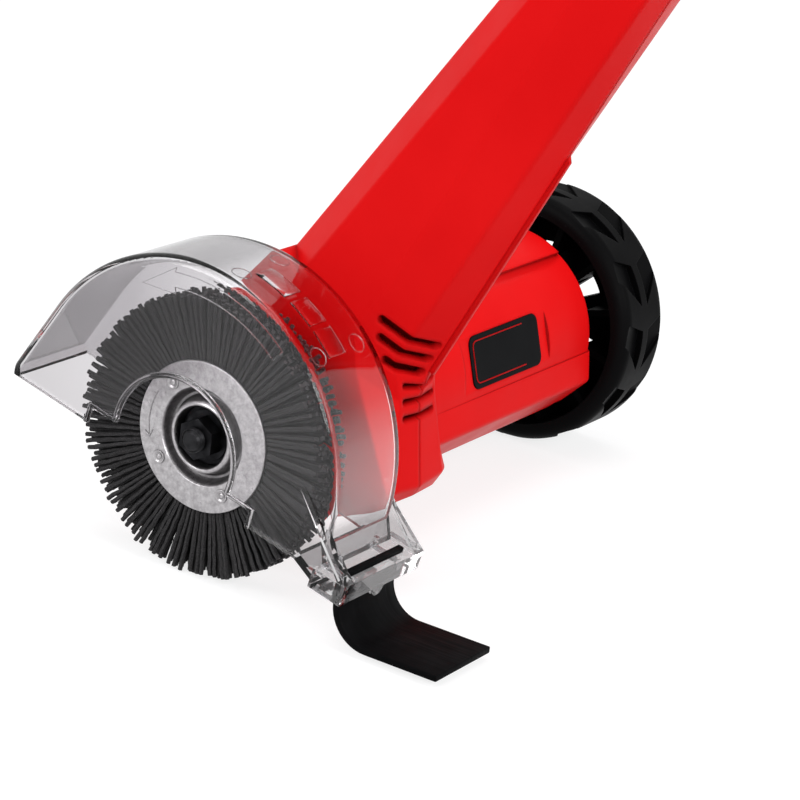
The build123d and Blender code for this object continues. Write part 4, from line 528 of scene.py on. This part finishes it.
def soft_touch():
    """Soft-touch grip: matt black with a fine leathery texture."""
    material, tree, shader, place = new_finish("soft_grip")
    cells = tree.nodes.new("ShaderNodeTexVoronoi")
    cells.inputs["Scale"].default_value = 900
    tree.links.new(place, cells.inputs["Vector"])
    dust = grain(tree, place, 200, 4)
    colour = tinted(tree, dust, (0.010, 0.010, 0.011), (0.024, 0.024, 0.026))
    tree.links.new(colour, shader.inputs["Base Color"])
    sheen = ranged(tree, grain(tree, place, 300), (0.65, 0.85))
    tree.links.new(sheen, shader.inputs["Roughness"])
    shader.inputs["Specular IOR Level"].default_value = 0.25
    roughened(tree, shader, cells.outputs["Distance"], 0.00012, 0.5)
    return material


STEEL = (0.42, 0.42, 0.43)
STEEL_LIGHT = (0.60, 0.60, 0.61)
BRIGHT_METAL = (0.66, 0.66, 0.67)

MOULDINGS = {
    "housing_red": dict(
        dark=(0.66, 0.0040, 0.0050),
        light=(0.72, 0.0060, 0.0068),
        rough=(0.30, 0.40),
        specular=0.04,
        soft_edge=0.002,
        # Painted shade in the vents and inside corners of the housing.
        painted_shade_reach=0.006,
    ),
    "label_black": dict(
        dark=(0.0030, 0.0032, 0.0037),
        light=(0.0048, 0.0051, 0.0058),
        rough=(0.34, 0.46),
        grain_scale=2400,
        grain_depth=0.00001,
        specular=0.03,
    ),
    "carbon": dict(
        dark=(0.012, 0.012, 0.013),
        light=(0.03, 0.03, 0.032),
        rough=(0.5, 0.7),
        grain_scale=1800,
        grain_depth=0.00008,
        specular=0.4,
    ),
    "holder_plastic": dict(
        dark=(0.04, 0.04, 0.044), light=(0.06, 0.06, 0.065), rough=(0.45, 0.6)
    ),
    "wheel_black": dict(
        dark=(0.0014, 0.0014, 0.0016),
        light=(0.0028, 0.0028, 0.0031),
        rough=(0.40, 0.54),
        grain_scale=1300,
        grain_depth=0.00006,
        specular=0.03,
    ),
    "bush_plastic": dict(dark=(0.5, 0.5, 0.48), light=(0.6, 0.6, 0.57), rough=(0.4, 0.5)),
    "black_plastic": dict(
        dark=(0.008, 0.008, 0.009),
        light=(0.014, 0.014, 0.015),
        rough=(0.4, 0.52),
        grain_depth=0.00006,
        specular=0.16,
    ),
    "button_grey": dict(dark=(0.10, 0.10, 0.105), light=(0.14, 0.14, 0.145), rough=(0.4, 0.5)),
}

METALS = {
    "screw_steel": dict(dark=STEEL, light=STEEL_LIGHT, rough=(0.28, 0.42), scale=1800),
    "cast_aluminium": dict(
        dark=(0.50, 0.50, 0.51), light=BRIGHT_METAL, rough=(0.42, 0.6), scale=900
    ),
    "shaft_steel": dict(
        dark=(0.012, 0.012, 0.013),
        light=(0.030, 0.030, 0.032),
        rough=(0.3, 0.44),
        scale=1500,
        stretch=(10, 1, 1),
    ),
    "gear_steel": dict(
        dark=(0.34, 0.34, 0.35), light=(0.5, 0.5, 0.51), rough=(0.3, 0.44), scale=1300
    ),
    "bearing_steel": dict(dark=STEEL, light=BRIGHT_METAL, rough=(0.16, 0.28), scale=1600),
    "bush_bronze": dict(
        dark=(0.46, 0.27, 0.12), light=(0.6, 0.37, 0.18), rough=(0.4, 0.55), scale=1100
    ),
    "sheet_stack": dict(
        dark=(0.20, 0.20, 0.21),
        light=(0.32, 0.32, 0.33),
        rough=(0.4, 0.6),
        scale=1400,
        stretch=(0.033, 1, 1),
    ),
    "copper": dict(
        dark=(0.62, 0.26, 0.14), light=(0.78, 0.38, 0.22), rough=(0.26, 0.4), scale=1500
    ),
    "black_steel": dict(
        dark=(0.010, 0.010, 0.011), light=(0.022, 0.022, 0.024), rough=(0.36, 0.52), scale=1700
    ),
    "pole_aluminium": dict(
        dark=(0.36, 0.36, 0.37),
        light=(0.45, 0.45, 0.46),
        rough=(0.36, 0.48),
        scale=2400,
        stretch=(1, 1, 60),
        turn=(POLE_LEAN, 0, 0),
    ),
}

finishes = {
    "hub_steel": galvanised(),
    "bristle_nylon": nylon(),
    "guard_clear": smoky_clear(),
    "flap_rubber": rubber(),
    "soft_grip": soft_touch(),
}
for name, look in MOULDINGS.items():
    finishes[name] = moulded(name, **look)
for name, look in METALS.items():
    finishes[name] = worked_metal(name, **look)

for node in nodes.values():
    for place in node.material_slots:
        place.material = finishes[place.material.name.split(".")[0]]
for name in ("arbor_bush", "spindle_washer"):
    for place in nodes[name].material_slots:
        place.material = finishes["black_steel"]


# Brush

STRAND_ROWS = 8
STRANDS_A_ROW = 104
STRAND_ROOT = 23.0
STRAND_STEP = 3.0
STRAND_STEPS = 9
ROOT_SPREAD = 7.4
TIP_SPREAD = 17.0
ROW_STAGGER = 0.37
BACKING_INNER = 19.4
BACKING_OUTER = 25.0
STAKE_RADIUS = 21.0


def nylon_strand():
    """One gently crimped strand along +Z, with a blunt end."""
    crimp, waver, thick, thin = 0.22, 0.14, 1.10, 0.93
    deselect()
    bpy.ops.mesh.primitive_circle_add(
        vertices=5, radius=0.80 * MM, fill_type="NGON", location=(0, 0, 0)
    )
    piece = added("strand")
    edit(piece)
    for step in range(STRAND_STEPS):
        side = 1 if step % 2 else -1
        pull((crimp * side * MM, waver * math.sin(step * 2.1) * MM, STRAND_STEP * MM))
        lump = thick if side > 0 else thin
        bpy.ops.transform.resize(value=(lump, lump, 1))
    done()
    outward(piece)
    smooth(piece, 50)
    return piece


def brush_rows(name, rows, seed, start, end):
    """Rows of strands round the hub, fanned out along the spindle, and the ring at their roots."""
    chance = random.Random(seed)
    pattern = nylon_strand()
    ring = [(BACKING_INNER, start), (BACKING_OUTER, start), (BACKING_OUTER, end)]
    ring += [(BACKING_INNER, end), (BACKING_INNER, start)]
    strands = [turned(name + "_ring", ring, 64)]
    for row in rows:
        side = (row + 0.5) / STRAND_ROWS - 0.5
        for place in range(STRANDS_A_ROW):
            steps_round = place + row * ROW_STAGGER + chance.uniform(-0.22, 0.22)
            turn = steps_round * 360 / STRANDS_A_ROW
            root = Vector((BRUSH_MID + ROOT_SPREAD * side, 0, STRAND_ROOT))
            splay = TIP_SPREAD + chance.uniform(-1.8, 0.4)
            sideways = chance.uniform(-0.9, 0.9)
            tip = Vector((BRUSH_MID + splay * side, sideways, chance.uniform(48.2, 49.7)))
            lean = tip - root
            stand = Vector((0, 0, 1)).rotation_difference(lean).to_matrix().to_4x4()
            stretch = Matrix.Diagonal((1, 1, lean.length / (STRAND_STEP * STRAND_STEPS), 1))
            twist = Matrix.Rotation(chance.uniform(0, 2 * math.pi), 4, "Z")
            about = Matrix.Rotation(math.radians(turn), 4, "X") @ Matrix.Translation(root * MM)
            strand = copy_of(pattern)
            strand.matrix_world = TOOL @ about @ stand @ twist @ stretch
            strands.append(strand)
    bpy.data.objects.remove(pattern)
    piece = joined(strands, name)
    bpy.ops.object.transform_apply(location=True, rotation=True, scale=True)
    return piece


def pressed_plate():
    """Pressed hub plate: a flat rim with a rolled edge, a deep round groove and a rolled collar."""
    rim = [(26.8, -41.9), (26.8, -42.6), (26.6, -42.9), (26.3, -43.0), (17.9, -43.0)]
    groove = [(17.4, -42.9), (17.0, -42.5), (16.7, -41.7), (16.4, -40.6), (15.9, -39.6)]
    groove += [(15.2, -39.1), (14.4, -39.1), (13.8, -39.6), (13.4, -40.6), (13.1, -41.8)]
    collar = [(12.8, -42.8), (12.5, -43.5), (12.1, -43.9), (11.7, -44.05), (11.2, -43.9)]
    inside = [(10.8, -43.4), (10.6, -42.6), (10.6, -37.9)]
    back = [(11.6, -37.9), (17.4, -37.9), (18.6, -41.9), (26.8, -41.9)]
    plate = turned("pressed_plate", rim + groove + collar + inside + back, 128)
    smooth(plate, 32)
    return plate


def thread_ridges():
    """Ridges of the thread on the end of the stud."""
    core, crest, valley, pitch = 3.9, 4.3, 3.95, 0.8
    tip, first_crest, first_valley, shoulder = -48.9, -48.5, -48.1, -46.5
    rings = [(core, tip)]
    for count in range(3):
        rings.append((crest, first_crest + pitch * count))
        rings.append((valley, first_valley + pitch * count))
    rings += [(core, shoulder), (core, tip)]
    ridges = turned("thread_ridges", rings, 32)
    smooth(ridges, 20)
    return ridges


def staked_marks():
    """Round dents where the plates of the hub are staked together."""
    rings = [(2.4, 0.0), (2.3, 0.45), (1.9, 0.5), (1.6, 0.12)]
    rings += [(1.0, 0.06), (0.8, 0.35), (0.35, 0.4)]
    facing = Matrix.Rotation(-math.pi / 2, 4, "Y")
    marks = []
    for count in range(3):
        at = [part * MM for part in polar(HUB_NEAR, STAKE_RADIUS, 18 - 84 * count)]
        mark = boss("staked_mark", rings)
        settle(mark, TOOL @ Matrix.Translation(at) @ facing)
        marks.append(mark)
    return joined(marks, "staked_marks")


def raised_arrow():
    """Raised arrow on the rim of the hub, for the way it turns."""
    arc = [polar(HUB_NEAR, 22.6, turn) for turn in spaced(-2, -46, 16)]
    barb = [polar(HUB_NEAR, 21.0, -40), polar(HUB_NEAR, 22.6, -46), polar(HUB_NEAR, 24.2, -41)]
    shaft = bead("turn_arrow", arc, 0.24, False, TOOL)
    head = bead("turn_arrow_head", barb, 0.24, False, TOOL)
    return joined([shaft, head], "turn_arrow")


strands_near = brush_rows("strands_near", range(0, 4), 5, -41.7, -37.7)
dress(strands_near, "brush", "bristle_nylon")
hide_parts("bristles_near")
strands_far = brush_rows("strands_far", range(4, 8), 11, -37.3, -33.3)
dress(strands_far, "brush", "bristle_nylon")
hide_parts("bristles_far")
hub_face = pressed_plate()
dress(hub_face, "brush", "hub_steel")
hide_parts("brush_near_plate")
stud_thread = thread_ridges()
dress(stud_thread, "brush", "shaft_steel")
hub_marks = staked_marks()
dress(hub_marks, "brush", "hub_steel")
turn_arrow = raised_arrow()
dress(turn_arrow, "brush", "hub_steel")


# Guard

TAB_SPAN = (-46.0, -36.8)
TAB_RADII = (GUARD_RIM - 0.3, GUARD_RIM + 0.35)
TAB_TURNS = ((92.0, 103.5), (105.8, 115.0), (116.7, 125.7))
EJECTOR_MARKS = ((-50.6, 90.0), (-28.8, 89.6), (-50.6, 124.2), (-28.8, 124.2))
EJECTOR_RADIUS = 3.4
MARK_RADIUS = 0.2


def curved_tab(first, last):
    """Plain raised rectangle on the rim of the guard, between two angles in degrees."""
    near, far = TAB_SPAN
    inner, outer = TAB_RADII
    deselect()
    bpy.ops.mesh.primitive_plane_add(size=1)
    piece = added("guard_tab")
    edit(piece)
    bpy.ops.transform.resize(value=((far - near) * MM, (outer - inner) * MM, 1))
    bpy.ops.transform.translate(value=((near + far) / 2 * MM, (inner + outer) / 2 * MM, 0))
    turn = -math.radians(first)
    sweep = -math.radians(last - first)
    bpy.ops.transform.rotate(value=turn, orient_axis="X", center_override=(0, 0, 0))
    bpy.ops.mesh.spin(steps=8, angle=sweep, center=(0, 0, 0), axis=(1, 0, 0))
    done()
    outward(piece)
    ease_edges(piece, 0.25, 50)
    settle(piece, GUARD)
    smooth(piece, 30)
    return piece


def ejector_ring(along, turn):
    """Fine ring on the rim of the guard."""
    ring = []
    for sweep in spaced(0, 330, 12):
        side = math.radians(sweep)
        lift = math.degrees(EJECTOR_RADIUS * math.sin(side) / GUARD_RIM)
        ring.append(polar(along + EJECTOR_RADIUS * math.cos(side), GUARD_RIM, turn + lift))
    return bead("guard_ring", ring, MARK_RADIUS, True, GUARD)


def wall_arrow():
    """Outline of a curved arrow on the near wall of the guard."""
    start, end, outer, inner = 73, 118, 60.6, 55.4
    outline = [polar(GUARD_NEAR, 56.4, 57.7), polar(GUARD_NEAR, 62.2, 72.1)]
    outline.append(polar(GUARD_NEAR, outer, 71.6))
    outline += [polar(GUARD_NEAR, outer, turn) for turn in spaced(start, end, 16)]
    outline += [polar(GUARD_NEAR, inner, turn) for turn in spaced(end, start, 16)]
    outline += [polar(GUARD_NEAR, inner, 71.6), polar(GUARD_NEAR, 53.2, 72.1)]
    return bead("guard_arrow", outline, MARK_RADIUS, True, GUARD)


def guard_marks():
    """Moulded marks of the guard: raised rectangles and ejector rings on the rim, and an arrow."""
    marks = [curved_tab(first, last) for first, last in TAB_TURNS]
    marks += [ejector_ring(along, turn) for along, turn in EJECTOR_MARKS]
    marks.append(wall_arrow())
    return joined(marks, "guard_marks")


def mouth_lip():
    """Thick rounded lip round the mouth of the guard's near wall."""
    along, reach, shelf, foot = GUARD_NEAR + 0.4, 36.0, -3.5, -10.0
    path = [(along, reach, foot), (along, reach, shelf)]
    path += [polar(along, 25.0, turn) for turn in spaced(-8, 188, 48)]
    path += [(along, -reach, shelf), (along, -reach, foot)]
    return bead("mouth_lip", path, 1.15, False, GUARD, 3)


moulded_marks = guard_marks()
dress(moulded_marks, "head", "guard_clear")
mouth_edge = mouth_lip()
dress(mouth_edge, "head", "guard_clear")


# Name plate

PLATE_ALONG = 93.5
PLATE_TURN = math.radians(43)


def plate_border():
    """Fine red line round the bare plate, open at its far end."""
    half_long, half_wide, corner, face, opening = 21.4, 7.7, 2.2, 36.8, 9
    line = [(half_long - opening, half_wide, face)]
    for side, start in ((1, 90), (-1, 180)):
        for turn in spaced(start, start + 90, 6):
            out = math.radians(turn)
            along = -(half_long - corner) + corner * math.cos(out)
            across = side * (half_wide - corner) + corner * math.sin(out)
            line.append((along, across, face))
    line.append((half_long - opening, -half_wide, face))
    at_plate = Matrix.Translation((PLATE_ALONG * MM, 0, 0))
    place = TOOL @ Matrix.Rotation(PLATE_TURN, 4, "X") @ at_plate
    return bead("plate_border", line, 0.26, False, place)


border = plate_border()
dress(border, "head", "housing_red")


# Grip and switch


def mains_switch():
    """Switch body with stepped shoulders and a round plunger that clears the pulled trigger."""
    low, high, front, back, half = 944.0, 972.0, 13.5, 4.5, 13.6
    shoulder, step = 2.5, 0.8
    body = block("switch_body", half, back, front, low, high)
    pick_faces(body, lambda at, normal: normal.y < -0.9)
    bpy.ops.mesh.inset(thickness=shoulder * MM, depth=0)
    pull((0, -step * MM, 0))
    done()
    ease_edges(body, 0.4, 50)
    smooth(body, 40)
    settle(body, TOOL)
    plunger = boss("switch_plunger", [(2.8, -0.5), (2.8, 4.7), (2.5, 5.1), (1.9, 5.3)])
    facing = Matrix.Rotation(math.pi / 2, 4, "X")
    settle(plunger, TOOL @ Matrix.Translation((0, back * MM, (low + high) / 2 * MM)) @ facing)
    return joined([body, plunger], "switch_form")


def grip_skin():
    """Soft skin round the front of the grip, with shallow finger grooves."""
    low, high, front, back, half, thick = 915.0, 1060.0, 20.0, 6.0, 17.0, 1.55
    first_groove, pitch, half_groove = 14, 13, 1.6
    piece = block("grip_skin", half, back, front, low, high)
    pick_edges(piece, lambda at: at.y > (front - 1) * MM and abs(at.x) > (half - 1) * MM)
    bpy.ops.mesh.bevel(offset=6 * MM, segments=6, profile=0.5)
    bpy.ops.mesh.select_mode(type="FACE")
    pick_faces(piece, lambda at, normal: abs(normal.z) > 0.9 or normal.y < -0.9)
    bpy.ops.mesh.delete(type="FACE")
    grooves = [low + first_groove + pitch * count for count in range(10)]
    for groove in grooves:
        for edge in (groove - half_groove, groove + half_groove):
            bpy.ops.mesh.select_all(action="SELECT")
            bpy.ops.mesh.bisect(plane_co=(0, 0, edge * MM), plane_no=(0, 0, 1))
    bpy.ops.mesh.select_mode(type="FACE")
    pick_faces(piece, lambda at, normal: any(abs(at.z - up * MM) < 1 * MM for up in grooves))
    bpy.ops.mesh.inset(thickness=0.5 * MM, depth=-0.7 * MM)
    done()
    outward(piece)
    modify(piece, "SOLIDIFY", thickness=thick * MM, offset=-1)
    ease_edges(piece, 0.3, 40)
    settle(piece, TOOL)
    smooth(piece, 40)
    return piece


switch_form = mains_switch()
dress(switch_form, "upper_pole", "holder_plastic")
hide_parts("switch_unit")
soft_skin = grip_skin()
dress(soft_skin, "upper_pole", "soft_grip")
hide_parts("grip_pad")


# Flap

FLAP_MID = -39.9
FLAP_WIDE = 33.0
FLAP_THICK = 2.4
FLAP_PLANE = 74.8
FLAP_TOP = 5.0
FLAP_CORNER_UP = 3.2
FLAP_TIP = (-110.5, 3.8)
FLAP_BEND = 12.8


def rubber_flap():
    """Flap with a straight top in the holder, a bend and a trailing tail, drawn in Y and Z."""
    lean_sin, lean_cos = math.sin(GUARD_LEAN), math.cos(GUARD_LEAN)
    top = Vector(
        (
            -FLAP_PLANE * lean_cos + FLAP_TOP * lean_sin,
            SPINDLE_UP - FLAP_PLANE * lean_sin - FLAP_TOP * lean_cos,
        )
    )
    down = Vector((lean_sin, -lean_cos))
    tip = Vector(FLAP_TIP)
    corner = top + down * ((top.y - FLAP_CORNER_UP) / lean_cos)
    tail = (tip - corner).normalized()
    opening = math.acos(max(-1, min(1, (-down).dot(tail))))
    run = FLAP_BEND / math.tan(opening / 2)
    bend_start = corner - down * run
    centre = bend_start + Vector((-lean_cos, -lean_sin)) * FLAP_BEND
    straight = (bend_start - top) * MM
    rest = (tip - (corner + tail * run)) * MM

    deselect()
    bpy.ops.mesh.primitive_plane_add(size=1, location=(0, 0, 0))
    piece = added("flap_sheet")
    edit(piece)
    bpy.ops.transform.resize(value=(FLAP_WIDE * MM, FLAP_THICK * MM, 1))
    bpy.ops.transform.translate(value=(FLAP_MID * MM, 0, 0))
    bpy.ops.transform.rotate(value=-GUARD_LEAN, orient_axis="X", center_override=(0, 0, 0))
    bpy.ops.transform.translate(value=(0, top.x * MM, top.y * MM))
    pull((0, straight.x, straight.y))
    middle = (0, centre.x * MM, centre.y * MM)
    bpy.ops.mesh.spin(steps=14, angle=math.pi - opening, center=middle, axis=(1, 0, 0))
    pull((0, rest.x, rest.y))
    done()
    outward(piece)
    ease_edges(piece, 0.45, 50)
    smooth(piece, 30)
    return piece


flap_sheet = rubber_flap()
dress(flap_sheet, "head", "flap_rubber")
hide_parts("flap")


# Stage

FLOOR_SIZE = 30
FLOOR_GREY = (0.5, 0.5, 0.5, 1)
FLOOR_SHADE = (0.28, 0.28, 0.285, 1)
FLOOR_GLOW = 0.78
AIR_LIGHT = 0.32
SOFT_BOXES = {
    "box_front_left": dict(
        place=(-2.30, 1.20, 1.80), aim=(0.0, 0.0, 0.1), size=(1.6, 1.6), power=54
    ),
    "box_top": dict(
        place=(0.18, -0.27, 3.32), aim=(0.02, -0.03, 0.08), size=(2.2, 2.2), power=46
    ),
    "box_rear_left": dict(
        place=(-1.70, -2.15, 1.20), aim=(0.0, -0.05, 0.10), size=(1.2, 1.2), power=30
    ),
    "box_back": dict(
        place=(0.15, -2.65, 1.58), aim=(0.05, -0.05, 0.12), size=(1.2, 1.8), power=34
    ),
}
CAMERA_PLACE = (-0.8070, -0.5432, 0.4087)
CAMERA_RIGHT = (0.5534, -0.8248, 0.1159)
CAMERA_BACK = (-0.8029, -0.4909, 0.3388)
CAMERA_LENS = 133.6
CAMERA_FILM = 36.0


def seen_ray(tree):
    """1 where the ray comes from the camera, a gloss or clear plastic."""
    path = tree.nodes.new("ShaderNodeLightPath").outputs
    direct = reckoned(tree, "MAXIMUM", path["Is Camera Ray"], path["Is Glossy Ray"])
    return reckoned(tree, "MAXIMUM", direct, path["Is Transmission Ray"])


def pale_floor():
    """Floor that is seen as white with a soft shadow, and lights the object as a plain grey."""
    deselect()
    bpy.ops.mesh.primitive_plane_add(size=FLOOR_SIZE, location=(0, 0, 0))
    floor = added("floor")
    material = bpy.data.materials.new("pale_floor")
    material.use_nodes = True
    tree = material.node_tree
    tree.nodes.remove(tree.nodes["Principled BSDF"])
    matt = tree.nodes.new("ShaderNodeBsdfDiffuse")
    matt.inputs["Color"].default_value = FLOOR_GREY
    dim = tree.nodes.new("ShaderNodeBsdfDiffuse")
    dim.inputs["Color"].default_value = FLOOR_SHADE
    glow = tree.nodes.new("ShaderNodeEmission")
    glow.inputs["Strength"].default_value = FLOOR_GLOW
    lit = tree.nodes.new("ShaderNodeAddShader")
    tree.links.new(dim.outputs["BSDF"], lit.inputs[0])
    tree.links.new(glow.outputs["Emission"], lit.inputs[1])
    mix = tree.nodes.new("ShaderNodeMixShader")
    tree.links.new(seen_ray(tree), mix.inputs["Fac"])
    tree.links.new(matt.outputs["BSDF"], mix.inputs[1])
    tree.links.new(lit.outputs["Shader"], mix.inputs[2])
    tree.links.new(mix.outputs["Shader"], tree.nodes["Material Output"].inputs["Surface"])
    floor.data.materials.append(material)


def studio_air():
    """Air that is seen as white and lights the object gently."""
    world = bpy.data.worlds.new("studio")
    bpy.context.scene.world = world
    world.use_nodes = True
    tree = world.node_tree
    back = tree.nodes["Background"]
    back.inputs["Color"].default_value = (1, 1, 1, 1)
    strength = stepped(tree, seen_ray(tree), 0.0, 1.0, AIR_LIGHT, 1.0)
    tree.links.new(strength, back.inputs["Strength"])


def soft_box(name, place, aim, size, power):
    lamp = bpy.data.lights.new(name, "AREA")
    lamp.shape = "RECTANGLE"
    lamp.size, lamp.size_y = size
    lamp.energy = power
    box = bpy.data.objects.new(name, lamp)
    bpy.context.scene.collection.objects.link(box)
    box.location = place
    box.rotation_euler = (Vector(aim) - Vector(place)).to_track_quat("-Z", "Y").to_euler()


def photo_camera():
    lens = bpy.data.cameras.new("photo_view")
    lens.lens = CAMERA_LENS
    lens.sensor_width = CAMERA_FILM
    lens.clip_end = 100
    camera = bpy.data.objects.new("photo_view", lens)
    bpy.context.scene.collection.objects.link(camera)
    right = Vector(CAMERA_RIGHT).normalized()
    back = Vector(CAMERA_BACK).normalized()
    up = back.cross(right).normalized()
    axes = Matrix((right, up, back)).transposed().to_4x4()
    camera.matrix_world = Matrix.Translation(CAMERA_PLACE) @ axes
    bpy.context.scene.camera = camera


pale_floor()
studio_air()
for name, lamp in SOFT_BOXES.items():
    soft_box(name, **lamp)
photo_camera()
bpy.context.scene.view_settings.view_transform = "Standard"
